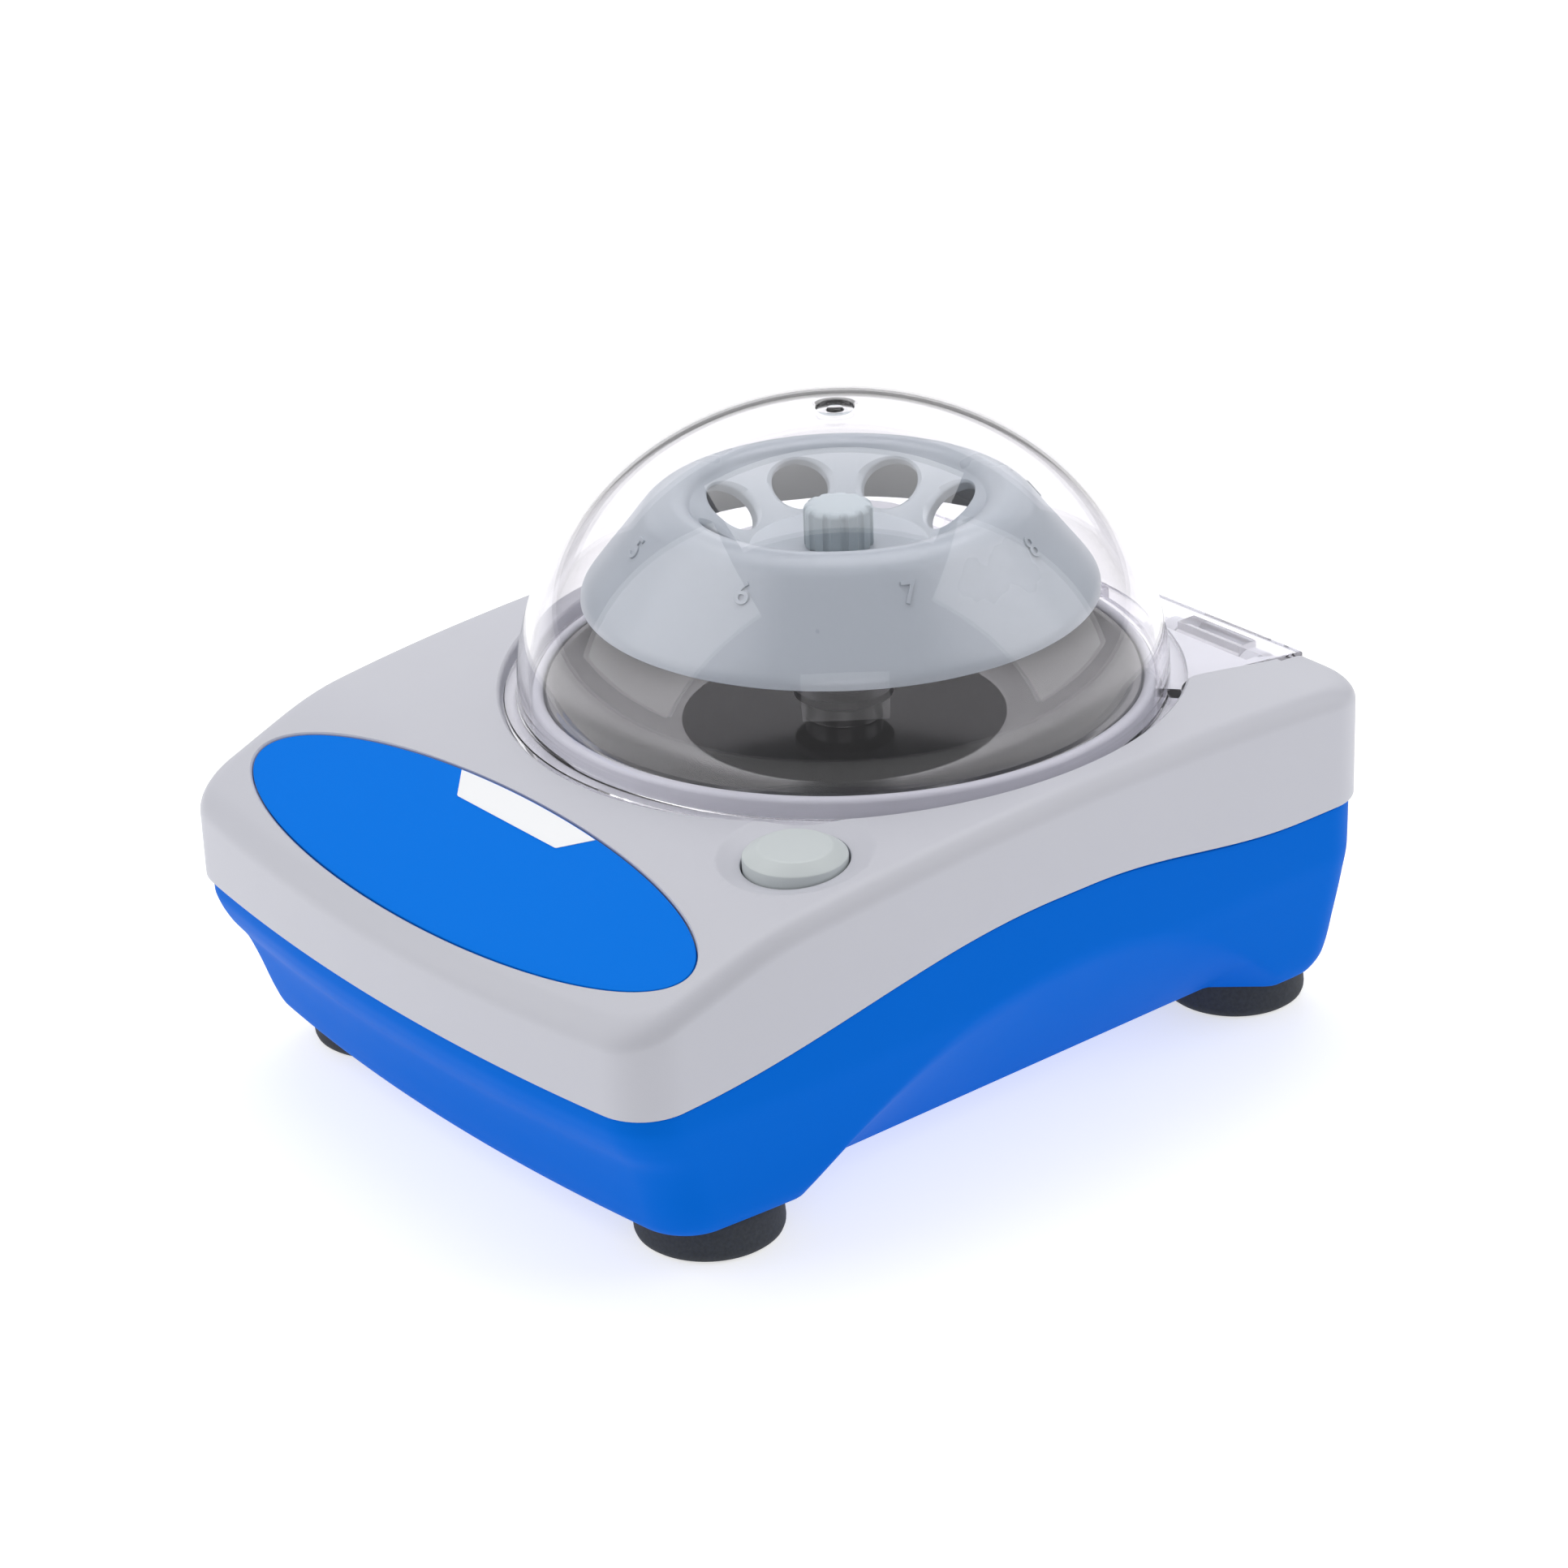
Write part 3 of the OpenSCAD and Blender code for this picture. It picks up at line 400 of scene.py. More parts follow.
def upper_shell():
    plan = plan_outline(2.2)
    base = seam(plan[:, 1]) + SEAM_GAP
    outer, grown = cap_rings(plan, 0, 4.0, base + 0.3)
    inner, _ = cap_rings(plan, WALL, 3.0, base)
    edge = [np.c_[grown(0.3), base], np.c_[grown(0.09), base + 0.09]]
    body = loft("shell_upper", inner[::-1] + edge + outer)
    flap = lid_plan(2.5, 89.0)
    x0, x1 = POCKET_X[0] - POCKET_WALL, POCKET_X[1] + POCKET_WALL
    floor = POCKET_Z - WALL
    additions = [
        under("seat_floor", disc_plan((0, ROTOR_Y), RECESS_R + 1.4), MOAT_Z - 2.1),
        under("flap_floor", flap[flap[:, 1] > 50], MOAT_Z - 1),
        under("button_guide", disc_plan(BUTTON, HOLE_R + 1.7, 96), 59.0),
        under("magnet_box", rect(-MAGNET_X - 1.8, MAGNET_X + 1.8, MAGNET_Y - 1.8, 89.0), floor),
        under("hinge_box", rect(x0, x1, POCKET_Y - POCKET_WALL, 89.0), floor),
        under("hinge_box", rect(-x1, -x0, POCKET_Y - POCKET_WALL, 89.0), floor),
    ]
    combine(body, additions, "UNION")
    combine(body, upper_cutters(), "DIFFERENCE")
    r0, r1 = LIP_R, LIP_R + 2.2
    lip = [(r0, MOAT_Z - 1.2), (r1 + 0.5, MOAT_Z - 1.2), (r1 + 0.5, MOAT_Z), (r1 + 0.12, MOAT_Z + 0.12),
           (r1, MOAT_Z + 0.5)]
    lip += [tuple(q) for q in arc((r0 + r1) / 2, LIP_Z - 1.1, 1.1, 0, 180, 14)]
    ear = [(HINGE_Y - BARREL_R, 56.5), (HINGE_Y + BARREL_R, 56.5)]
    ear += [tuple(q) for q in arc(HINGE_Y, HINGE_Z, BARREL_R, 0, 180, 24)]
    ears = [bar("ear", *sorted((side * x, side * (x + EAR_T))), ear) for side in (-1, 1) for x in EARS_X]
    combine(body, [revolve("lip", lip, segments=256)] + ears, "UNION")
    return shade(body, 30)


def lower_shell():
    plan = plan_outline(1.1)
    shares = np.r_[0, 0.012, 0.026, 0.045, np.linspace(0.07, 0.985, 52)]
    outer = [tub_ring(plan, t, 0, FLOOR_Z) for t in shares]
    lip = [tub_ring(plan, 0.995, 0.05, FLOOR_Z), tub_ring(plan, 1.0, 0.3, FLOOR_Z)]
    inner = [tub_ring(plan, t, WALL, FLOOR_Z + WALL) for t in np.linspace(1, 0, 16)]
    body = loft("shell_lower", outer + lip + inner)
    inside = FLOOR_Z + 1
    posts = []
    for a in np.radians([90, 210, 330]):
        x, y = MOTOR_POSTS_AT * math.cos(a), ROTOR_Y + MOTOR_POSTS_AT * math.sin(a)
        posts.append(cylinder("post", x, y, inside, MOTOR_POST_TOP, POST_R, 48))
    for s in (-1, 1):
        posts += [cylinder("post", s * x, y, inside, z, POST_R, 48) for x, y, z in BASE_SCREWS]
        for y in (BOARD_Y - BOARD_HALF, BOARD_Y + BOARD_HALF):
            posts.append(cylinder("post", s * BOARD_POST_X, y, inside, BOARD_POST_TOP, BOARD_POST_R, 32))
    combine(body, posts, "UNION")
    half_x, half_y = VENT_HALF
    cuts = [block("vent", (-half_x, ROTOR_Y + y - half_y, 0), (half_x, ROTOR_Y + y + half_y, 12)) for y in VENTS_Y]
    for s in (-1, 1):
        cuts += [cylinder("head", s * x, y, 0, z - 7.6, 3.2, 48) for x, y, z in BASE_SCREWS]
        cuts += [cylinder("shank", s * x, y, 0, z + 1, 1.7, 32) for x, y, z in BASE_SCREWS]
        cuts += [cylinder("foot_screw", s * x, y, 0, 15, 1.3, 32) for x, y in FEET.values()]
    jack = cylinder("jack", 0, 0, 0, 20, JACK_R, 64)
    jack.data.transform(Matrix.Translation(Vector(JACK_AT) * MM) @ Matrix.Rotation(math.radians(-90), 4, "X"))
    combine(body, cuts + [jack], "DIFFERENCE")
    return shade(body, 34)


# ---------------------------------------------------------------- lid, rotor, bowl and small parts
def dome():
    """The dome with its rim and the small sunk knob on its top."""
    t = np.radians(np.linspace(0, 86.4, 60))
    outer = [(64.6, 65.4), (64.6, 66.9), (64.4, 67.1), (62.7, 67.1), (62.2, 67.35), (62.0, 67.8)]
    outer += [(DOME_R * math.cos(a), DOME_Z + DOME_H * math.sin(a)) for a in t]
    outer += [(3.65, 121.85), (3.5, 121.7), (3.4, 121.45), (3.1, 121.35), (1.7, 121.35), (1.55, 121.45),
              (1.45, 121.8), (1.2, 121.9), (0, 121.9)]
    inner_r, inner_h = DOME_R - LID_WALL, DOME_H - LID_WALL
    inner = [(inner_r * math.cos(a), DOME_Z + inner_h * math.sin(a)) for a in np.radians(np.linspace(90, 0, 60))]
    inner[0] = (0, inner[0][1])
    return revolve("lid_shell", outer + inner + [(inner_r, 65.4)], segments=256)


def flap_plate():
    """The flat flap behind the dome, drawn in along its free edges to round them."""
    plan = lid_plan(-0.6, FLAP_BACK)
    side = plan[:len(plan) // 2 + 1]
    side = side[(side[:, 1] > 59.0) & (side[:, 0] > 0)]
    a0 = math.degrees(math.atan2(side[0][1] - ROTOR_Y, side[0][0]))
    flap = np.vstack([side, side[::-1] * [-1, 1], arc(0, ROTOR_Y, 60.9, 180 - a0, a0, 80)])

    def tread(o, z):
        q = flap.copy()
        q[np.isclose(q[:, 1], FLAP_BACK), 1] -= o
        free = np.arange(len(q)) < 2 * len(side)
        q[free, 0] -= np.sign(q[free, 0]) * o
        return np.c_[q, np.full(len(q), z)]

    t0, t1 = FLAP_Z, FLAP_Z + FLAP_T
    steps = [(0.25, t0), (0, t0 + 0.25), (0, t1 - 0.35), (0.1, t1 - 0.1), (0.35, t1)]
    return loft("flap", [tread(o, z) for o, z in steps], False)


def clear_lid():
    shell = dome()
    extras = [flap_plate(), block("boss", (-4.4, 84.8, 64.3), (4.4, 88.4, 67.3))]
    x0, x1 = BARREL_X
    for s in (-1, 1):
        a, b = sorted((s * x0, s * x1))
        extras.append(cylinder_x("barrel", a, b, HINGE_Y, HINGE_Z, BARREL_R))
        extras.append(block("web", (a + 0.01, 82.8, HINGE_Z), (b - 0.01, 87.2, 67.5)))
    combine(shell, extras, "UNION")
    middle, reach = (x0 + x1) / 2, 12
    cuts = [cylinder_x("bore", s * middle - reach, s * middle + reach, HINGE_Y, HINGE_Z, PIN_R, 48) for s in (-1, 1)]
    cuts.append(cylinder("pocket", 0, 86.6, 60, 67.12, 1.25, 40))
    combine(shell, cuts, "DIFFERENCE")
    return shade(shell, 30)


def rotor_shell():
    rim = [(48.72, 86.0), (48.7, 86.4), (48.5, 87.3), (47.7, 88.7), (45.05, 92.0), (41.0, 96.9), (37.2, 101.6),
           (35.7, 103.2), (33.8, 104.4), (31.5, 104.97), (29.6, 104.8), (28.3, 104.2), (27.4, 103.2)]
    outer = [(47.0, 86.0), (48.5, 86.0)] + spline(rim, 5)[1:]
    under_side = [(16.8, 94.7), (2.6, 94.7), (2.6, 92.3), (17.0, 92.3), (18.2, 93.0), (28.8, 101.5), (29.8, 102.4),
                  (31.6, 102.9), (33.8, 101.9), (35.8, 100.2), (39.6, 95.6), (43.4, 90.9), (46.2, 87.4)]
    body = revolve("rotor_cone", outer + under_side, segments=256)
    tube = [(0, -6), (5.55, -6), (5.55, -0.55), (5.68, -0.25), (5.95, 0.0), (6.9, 0.75), (8.0, 1.6),
            (8.0, 9), (0, 9)]
    cuts = []
    for k in range(TUBES):
        a = math.radians(TUBE_PHASE + 360 / TUBES * k)
        tool = revolve("tube", tube, (0, 0), 96)
        tool.data.transform(Matrix.Translation(Vector((0, ROTOR_Y, 0)) * MM) @ Matrix.Rotation(a, 4, "Z")
                            @ Matrix.Translation(Vector((TUBE_AT[0], 0, TUBE_AT[1])) * MM)
                            @ Matrix.Rotation(-TUBE_TILT, 4, "Y"))
        cuts.append(tool)
    combine(body, cuts, "DIFFERENCE")
    return shade(body, 28)


def digit(number, azimuth):
    """A raised numeral that lies on the rotor's cone."""
    curve = bpy.data.curves.new("digit", "FONT")
    curve.body, curve.size, curve.extrude, curve.bevel_depth = str(number), 6.0, 0.26, 0.08
    curve.align_x, curve.align_y, curve.resolution_u, curve.bevel_resolution = "CENTER", "CENTER", 6, 2
    text = bpy.data.objects.new("digit", curve)
    bpy.context.scene.collection.objects.link(text)
    bpy.context.view_layer.update()
    mesh = bpy.data.meshes.new_from_object(text.evaluated_get(bpy.context.evaluated_depsgraph_get()))
    bpy.data.objects.remove(text)
    bpy.data.curves.remove(curve)
    obj = bpy.data.objects.new("rotor_numeral_%d" % number, mesh)
    bpy.context.scene.collection.objects.link(obj)
    across, along, out = np.array([v.co for v in mesh.vertices]).T
    across, along = (q - (q.max() + q.min()) / 2 for q in (across, along))
    at_r, at_z, c, s, lift = 38.9, 99.5, 0.629, 0.777, 0.02  # a point on the cone, its slope and the gap
    r = at_r - c * along + s * (out + lift)
    z = at_z + s * along + c * (out + lift)
    a = math.radians(azimuth) + across / at_r
    for v, p in zip(mesh.vertices, np.c_[r * np.cos(a), ROTOR_Y + r * np.sin(a), z] * MM):
        v.co = p
    return shade(obj, 40, weighted=False)


def knob():
    """Grip knob with twelve scalloped grooves."""
    body_r, groove_r, groove_at, top_z = 6.5, 0.9, 6.9, 102.6
    a = np.linspace(0, 2 * np.pi, 360, endpoint=False)
    off = (a + math.radians(15)) % math.radians(30) - math.radians(15)
    aside = groove_at * np.sin(off)
    dip = groove_at * np.cos(off) - np.sqrt(np.maximum(groove_r ** 2 - aside ** 2, 0))
    r = np.where(np.abs(aside) < groove_r, np.minimum(body_r, dip), body_r)
    steps = [(r - o, z) for z, o in ((94.72, 0.15), (94.87, 0), (101.6, 0), (101.95, 0.1), (102.3, 0.36),
                                     (102.52, 0.75), (top_z, 1.2))]
    steps += [(5.3 * share + 0 * r, top_z) for share in (0.8, 0.4)]
    rings = [np.c_[q * np.cos(a), ROTOR_Y + q * np.sin(a), np.full(360, z)] for q, z in steps]
    return shade(loft("rotor_grip_knob", rings), 26)


def bowl():
    def rise(share):
        return BOWL_FLOOR_Z + BOWL_RISE * share

    wall = [(BOWL_FLOOR_R + d, rise(0.35 * d / BOWL_RUN + 0.65 * (d / BOWL_RUN) ** 1.9))
            for d in np.linspace(BOWL_RUN, 0, 26)]
    back = [(31.6 + d, 58.2 + BOWL_RISE * (d / BOWL_RUN) ** 1.6) for d in np.linspace(0, 21, 12)]
    profile = [(5.6, 58.2)] + back
    profile += [(55.1, 66.0), (55.1, 60.6), (61.4, 60.6), (61.4, 62.4), (56.7, 62.4), (56.7, 68.9), (56.4, 69.25),
                (55.7, 69.3)] + wall
    profile += [(7.9, 60.0), (7.5, 60.15), (7.4, 60.5), (7.4, 63.2), (7.1, 63.5), (5.9, 63.5), (5.6, 63.2)]
    body = revolve("chamber_liner", profile, segments=256)
    cuts = []
    for a in np.radians([45, 135, 225, 315]):
        x, y = BOWL_SCREWS_AT * math.cos(a), ROTOR_Y + BOWL_SCREWS_AT * math.sin(a)
        cuts.append(cylinder("screw", x, y, 59, 64, 1.3, 32))
    combine(body, cuts, "DIFFERENCE")
    return shade(body, 24)


def button_cap():
    top_z = 69.2
    profile = [(0, top_z), (6.4, top_z), (6.75, top_z - 0.06), (7.05, top_z - 0.22), (9.1, top_z - 1.5),
               (9.32, top_z - 1.75), (BUTTON_R, top_z - 2.15), (BUTTON_R, 58.6), (10.8, 58.6), (10.8, 57.0),
               (7.6, 57.0), (7.6, 66.0), (2.5, 66.0), (2.5, 52.05), (0, 52.05)]
    return shade(revolve("power_button_cap", profile, BUTTON, 160), 24)


def foot(name, x, y):
    profile = [(1.52, 3.6), (3.2, 3.6), (3.2, 0.4), (3.6, 0.0), (12.2, 0.0), (12.9, 0.14), (13.4, 0.55),
               (13.65, 1.2), (13.7, 1.9), (13.3, 6.4), (13.05, 7.6), (12.8, 7.98), (1.52, 7.98)]
    return shade(revolve(name, profile, (x, y), 128), 30)


def panel_plate():
    steps = [(0, -1.36), (0, -0.42), (0.06, -0.3), (0.2, -0.25), (4, -0.25)]
    return shade(loft("panel_film", [panel_oval(-0.3 - o, w, 200) for o, w in steps]), 26)


def tab():
    """Blank white field at the panel's upper edge, with rounded lower corners."""
    top_edge = [(u, 16.55 * math.sqrt(1 - (u / 64.1) ** 2)) for u in np.linspace(20.3, -20.3, 25)]
    low = [tuple(q) for q in arc(-14.6, 11.4, 1.0, 215, 270, 6)]
    low += [tuple(q) for q in arc(14.6, 11.4, 1.0, 270, 325, 6)]
    u, v = np.array(top_edge + low).T
    return shade(loft("panel_blank_tab", [on_panel(u, v, w) for w in (-0.24, -0.14)]), 30, weighted=False)


# ---------------------------------------------------------------- materials
def principled(name, **values):
    """A material whose even values sit on the shader's own sockets."""
    mat = bpy.data.materials.new(name)
    mat.use_nodes = True
    shader = next(n for n in mat.node_tree.nodes if n.type == "BSDF_PRINCIPLED")
    for key, value in values.items():
        shader.inputs[key.replace("_", " ")].default_value = value
    return mat, shader


def noise(mat, scale, detail=3.0):
    nodes, links = mat.node_tree.nodes, mat.node_tree.links
    coords, tex = nodes.new("ShaderNodeTexCoord"), nodes.new("ShaderNodeTexNoise")
    tex.inputs["Scale"].default_value, tex.inputs["Detail"].default_value = scale, detail
    links.new(coords.outputs["Object"], tex.inputs["Vector"])
    return tex


def grain(mat, shader, scale, strength, depth=0.0001):
    """Fine moulded texture as a bump."""
    nodes, links = mat.node_tree.nodes, mat.node_tree.links
    tex, bump = noise(mat, scale, 2.0), nodes.new("ShaderNodeBump")
    bump.inputs["Strength"].default_value, bump.inputs["Distance"].default_value = strength, depth
    links.new(tex.outputs["Fac"], bump.inputs["Height"])
    links.new(bump.outputs["Normal"], shader.inputs["Normal"])


def vary(mat, shader, socket, scale, low, high):
    """Lets a socket wander between two numbers or colours over the surface."""
    nodes, links = mat.node_tree.nodes, mat.node_tree.links
    tex, ramp = noise(mat, scale), nodes.new("ShaderNodeValToRGB")
    ramp.color_ramp.elements[0].position, ramp.color_ramp.elements[1].position = 0.32, 0.68
    for end, value in ((0, low), (1, high)):
        ramp.color_ramp.elements[end].color = (value, value, value, 1) if isinstance(value, float) else (*value, 1)
    links.new(tex.outputs["Fac"], ramp.inputs["Fac"])
    links.new(ramp.outputs["Color"], shader.inputs[socket])


def plastic(name, colour, rough, scale=2600, strength=0.12, spread=0.03, **values):
    mat, shader = principled(name, Base_Color=(*colour, 1), **values)
    vary(mat, shader, "Roughness", 45, rough - spread, rough + spread)
    if strength:
        grain(mat, shader, scale, strength)
    return mat


def metal(name, colour, rough, scale=900, strength=0.08, spread=0.05):
    return plastic(name, colour, rough, scale, strength, spread, Metallic=1.0)


def speckled(name, low, high, rough, scale, strength=0.2, **values):
    mat, shader = principled(name, Roughness=rough, **values)
    vary(mat, shader, "Base Color", scale, low, high)
    grain(mat, shader, scale * 6, strength)
    return mat


def clear(name, colour, rough, weight):
    """Clear plastic that lets the lamps reach what is inside."""
    mat, shader = principled(name, Base_Color=(*colour, 1), Roughness=rough, IOR=1.36,
                             Transmission_Weight=weight)
    nodes, links = mat.node_tree.nodes, mat.node_tree.links
    out = next(n for n in nodes if n.type == "OUTPUT_MATERIAL")
    path, through, mix = (nodes.new("ShaderNode" + kind) for kind in ("LightPath", "BsdfTransparent", "MixShader"))
    links.new(path.outputs["Is Shadow Ray"], mix.inputs[0])
    links.new(shader.outputs[0], mix.inputs[1])
    links.new(through.outputs[0], mix.inputs[2])
    links.new(mix.outputs[0], out.inputs["Surface"])
    return mat


MATS = {}


def finish(maker, name, *numbers, **sockets):
    MATS[name] = maker(name, *numbers, **sockets)


finish(plastic, "grey_shell", (0.53, 0.535, 0.59), 0.42, 3000, 0.10, IOR=1.49)
finish(plastic, "blue_shell", (0.0, 0.135, 0.64), 0.46, 3000, 0.08, Specular_IOR_Level=0.02)
finish(plastic, "blue_panel", (0.0, 0.172, 0.74), 0.46, 4200, 0.10, Specular_IOR_Level=0.03)
finish(plastic, "white_tab", (0.88, 0.89, 0.91), 0.42, 4200, 0.05)
finish(clear, "clear_shell", (0.95, 0.94, 0.965), 0.015, 0.99)
finish(clear, "clear_flap", (0.70, 0.69, 0.75), 0.10, 0.66)
# The rotor's hub is the same grey moulding as the rotor; it is painted near black as painted shade, for the shade
# inside the rotor
finish(plastic, "hub_dark", (0.03, 0.032, 0.035), 0.5)
finish(metal, "steel", (0.62, 0.63, 0.65), 0.28)
finish(metal, "magnet", (0.55, 0.55, 0.57), 0.22)
finish(plastic, "sensor", (0.03, 0.03, 0.035), 0.35)
finish(plastic, "button_grey", (0.55, 0.59, 0.60), 0.40, 3400, 0.16)
finish(plastic, "plunger_white", (0.78, 0.78, 0.75), 0.4)
finish(plastic, "switch_black", (0.03, 0.03, 0.035), 0.4)
# The chamber bowl is one black moulding given as two copies: the walls get a strongly reflecting copy for painted
# reflections, and the floor under the rotor a weakly reflecting copy for painted shade
finish(plastic, "bowl_black", (0.006, 0.0055, 0.007), 0.22, 2400, 0.0, 0.02, IOR=2.5)
finish(plastic, "bowl_gloss", (0.004, 0.004, 0.005), 0.12, 1500, 0.0, 0.01, IOR=1.22)
finish(speckled, "gasket", (0.035, 0.035, 0.04), (0.07, 0.07, 0.075), 0.9, 900)
finish(plastic, "rotor_grey", (0.325, 0.36, 0.395), 0.30, 3600, 0.08, IOR=1.6)
finish(plastic, "knob_grey", (0.27, 0.32, 0.345), 0.36, 3600, 0.10)
finish(metal, "adapter_metal", (0.09, 0.09, 0.10), 0.4)
finish(speckled, "armature", (0.42, 0.13, 0.04), (0.62, 0.24, 0.08), 0.35, 1200, Metallic=1.0)
finish(speckled, "ferrite", (0.05, 0.05, 0.055), (0.09, 0.09, 0.095), 0.6, 700)
finish(metal, "motor_steel", (0.58, 0.59, 0.61), 0.34)
finish(plastic, "end_cap", (0.02, 0.02, 0.023), 0.45)
finish(metal, "bronze", (0.55, 0.37, 0.16), 0.36)
finish(metal, "plate_metal", (0.68, 0.69, 0.71), 0.32)
finish(speckled, "damper", (0.02, 0.02, 0.022), (0.04, 0.04, 0.042), 0.8, 500)
finish(speckled, "board_green", (0.01, 0.11, 0.04), (0.02, 0.16, 0.06), 0.3, 260, 0.05)
finish(plastic, "cap_sleeve", (0.02, 0.025, 0.12), 0.3)
finish(plastic, "chip_black", (0.015, 0.015, 0.016), 0.5)
finish(plastic, "connector", (0.74, 0.68, 0.52), 0.4)
finish(plastic, "jack_black", (0.016, 0.016, 0.018), 0.42)
finish(metal, "pin_brass", (0.76, 0.56, 0.22), 0.25)
finish(speckled, "foot_rubber", (0.022, 0.026, 0.033), (0.032, 0.037, 0.046), 0.72, 1500, 0.25)
finish(plastic, "lead_red", (0.24, 0.012, 0.012), 0.5)
finish(plastic, "lead_grey", (0.12, 0.12, 0.125), 0.5)

NODE_MATS = {
    "hinge_pins": "steel", "lid_magnet": "magnet", "lid_sensor": "sensor", "switch_plunger": "plunger_white",
    "button_spring": "steel", "power_switch": "switch_black", "bowl_gasket": "gasket", "bowl_screws": "steel",
    # the rotor's hub takes the near-black painted shade material
    "rotor_hub": "hub_dark", "shaft_adapter": "adapter_metal", "motor_shaft": "steel", "motor_armature": "armature",
    "motor_magnets": "ferrite", "motor_can": "motor_steel", "motor_end_cap": "end_cap", "motor_bearings": "bronze",
    "motor_plate": "plate_metal", "motor_screws": "steel", "motor_isolators": "damper", "isolator_screws": "steel",
    "circuit_board": "board_green", "capacitor": "cap_sleeve", "driver_chip": "chip_black",
    "board_connectors": "connector", "board_screws": "steel", "dc_jack": "jack_black", "jack_pin": "pin_brass",
    "foot_screws": "steel", "housing_screws": "steel", "motor_leads": "lead_red", "switch_leads": "lead_grey",
    "jack_leads": "lead_red",
}


def paint(obj, name):
    obj.data.materials.clear()
    obj.data.materials.append(MATS[name])
    for face in obj.data.polygons:
        face.material_index = 0


def place(obj, body, material, *nodes):
    """Puts a piece on its body, in its material, in place of the CAD nodes that it stands for."""
    paint(obj, material)
    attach(obj, body)
    if nodes:
        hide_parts(*nodes)
    return obj


def second_finish(obj, name, chosen):
    """Gives another material to the faces that chosen(face, z, y, distance from the rotor's axis) picks."""
    obj.data.materials.append(MATS[name])
    for face in obj.data.polygons:
        x, y, z = face.center / MM
        if chosen(face, z, y, math.hypot(x, y - ROTOR_Y)):
            face.material_index = 1


for node, name in NODE_MATS.items():
    paint(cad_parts[node], name)

place(upper_shell(), "housing", "grey_shell", "upper_housing", "lid_seat")
place(lower_shell(), "housing", "blue_shell", "lower_housing")
place(panel_plate(), "housing", "blue_panel", "front_panel")
place(tab(), "housing", "white_tab", "label_tab")
second_finish(place(clear_lid(), "lid", "clear_shell", "lid"), "clear_flap",
              lambda face, z, y, r: z < 67.6 and y > 50 and r > 63.5)
# The bowl's floor takes the weakly reflecting copy, as painted shade where the rotor darkens it
second_finish(place(bowl(), "housing", "bowl_black", "chamber_bowl"), "bowl_gloss",
              lambda face, z, y, r: z < 60.5 and face.normal.z > 0.5 and r < 31.1)
place(rotor_shell(), "spin", "rotor_grey", "rotor")
place(knob(), "spin", "knob_grey", "rotor_knob")
for number, azimuth in ((8, 24), (7, -21), (6, -66), (5, -111), (1, 69), (2, 114), (3, 159), (4, 204)):
    place(digit(number, azimuth), "spin", "rotor_grey")
place(button_cap(), "button", "button_grey", "power_button")
for end, (fx, fy) in FEET.items():
    for side, s in (("left", -1), ("right", 1)):
        corner = "%s_%s" % (end, side)
        place(foot("rubber_foot_" + corner, s * fx, fy), "housing", "foot_rubber", "foot_" + corner)


# ---------------------------------------------------------------- studio
CAMERA_TURN, CAMERA_TILT, CAMERA_ROLL = (math.radians(v) for v in (51.487, 25.204, -2.172))
EYE = Vector((0.595163, -0.469011, 0.407832))
LENS_MM, SENSOR_MM = 101.75, 36.0
FLOOR_HALF, FLOOR_DROP, FLOOR_GLOW = 4000, -0.05, 0.62
SKY = 0.22

floor_mat, _ = principled("studio_floor", Base_Color=(0.62, 0.62, 0.62, 1), Roughness=0.9,
                          Emission_Color=(1, 1, 1, 1), Emission_Strength=FLOOR_GLOW)
corners = rect(-FLOOR_HALF, FLOOR_HALF, -FLOOR_HALF, FLOOR_HALF)
floor = make("studio_floor", [(x, y, FLOOR_DROP) for x, y in corners], [(0, 1, 2, 3)])
floor.data.materials.append(floor_mat)

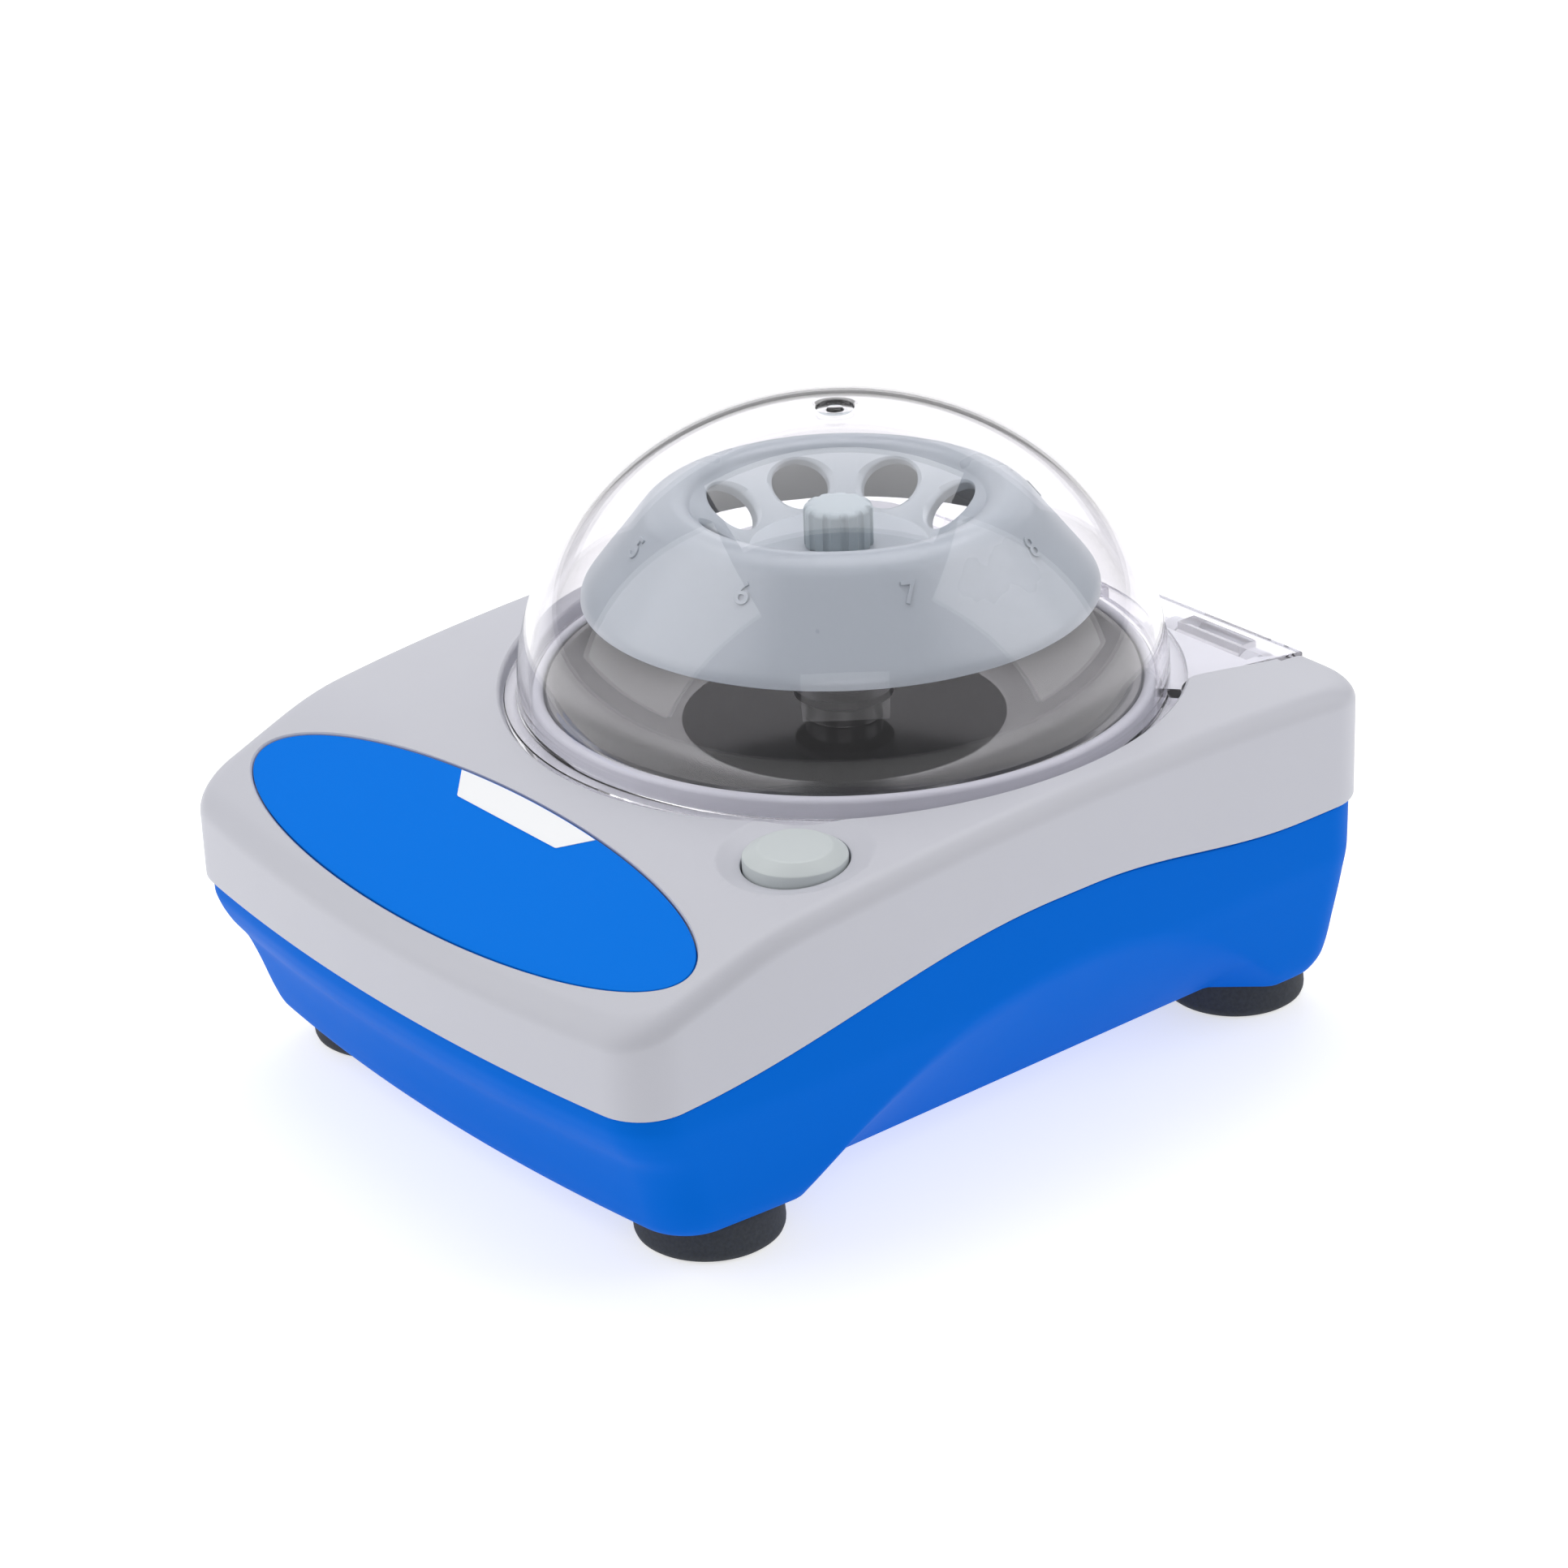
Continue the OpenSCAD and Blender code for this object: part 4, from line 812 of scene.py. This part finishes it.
scene = bpy.context.scene
scene.view_settings.view_transform = "Standard"
back = Vector((math.sin(CAMERA_TURN) * math.cos(CAMERA_TILT), -math.cos(CAMERA_TURN) * math.cos(CAMERA_TILT),
               math.sin(CAMERA_TILT)))
right = (-back).cross(Vector((0, 0, 1))).normalized()
up = right.cross(-back)
cos_roll, sin_roll = math.cos(CAMERA_ROLL), math.sin(CAMERA_ROLL)
axes = (right * cos_roll + up * sin_roll, up * cos_roll - right * sin_roll, back, EYE)
lens = bpy.data.cameras.new("camera")
lens.lens, lens.sensor_width, lens.clip_start, lens.clip_end = LENS_MM, SENSOR_MM, 0.01, 20.0
camera = bpy.data.objects.new("camera", lens)
scene.collection.objects.link(camera)
camera.matrix_world = Matrix([[axis[k] for axis in axes] for k in range(3)] + [[0, 0, 0, 1]])
scene.camera = camera

world = bpy.data.worlds.new("studio")
scene.world = world
world.use_nodes = True
sky = next(n for n in world.node_tree.nodes if n.type == "BACKGROUND")
sky.inputs["Color"].default_value, sky.inputs["Strength"].default_value = (1.0, 1.0, 1.0, 1), SKY


AIM = Vector((0, 0.01, 0.08))
view_right = Vector((right.x, right.y, 0)).normalized()
toward = Vector((back.x, back.y, 0)).normalized()


def lamp(name, sideways, forward, height, size, radiance, glossy=True):
    """A softbox of a given brightness aimed at the part; its place is given as seen by the camera."""
    data = bpy.data.lights.new(name, "AREA")
    data.shape, data.size, data.size_y = "RECTANGLE", size[0], size[1]
    data.energy = radiance * math.pi * size[0] * size[1]
    obj = bpy.data.objects.new(name, data)
    scene.collection.objects.link(obj)
    obj.location = AIM + view_right * sideways + toward * forward + Vector((0, 0, height))
    obj.rotation_euler = (AIM - obj.location).to_track_quat("-Z", "Y").to_euler()
    obj.visible_glossy = glossy


lamp("softbox_left", -1.05, 0.1, 0.7, (1.1, 1.3), 1.65)
lamp("softbox_right", 1.05, 0.05, 0.66, (0.9, 1.3), 1.6)
lamp("softbox_top", 0, -0.45, 1.1, (1.2, 0.8), 2.5)
lamp("backdrop", 0, -1.3, 0.52, (2.4, 0.66), 1.0)
lamp("fill_front", 0, 1.5, 0.75, (0.9, 0.6), 2.0, glossy=False)

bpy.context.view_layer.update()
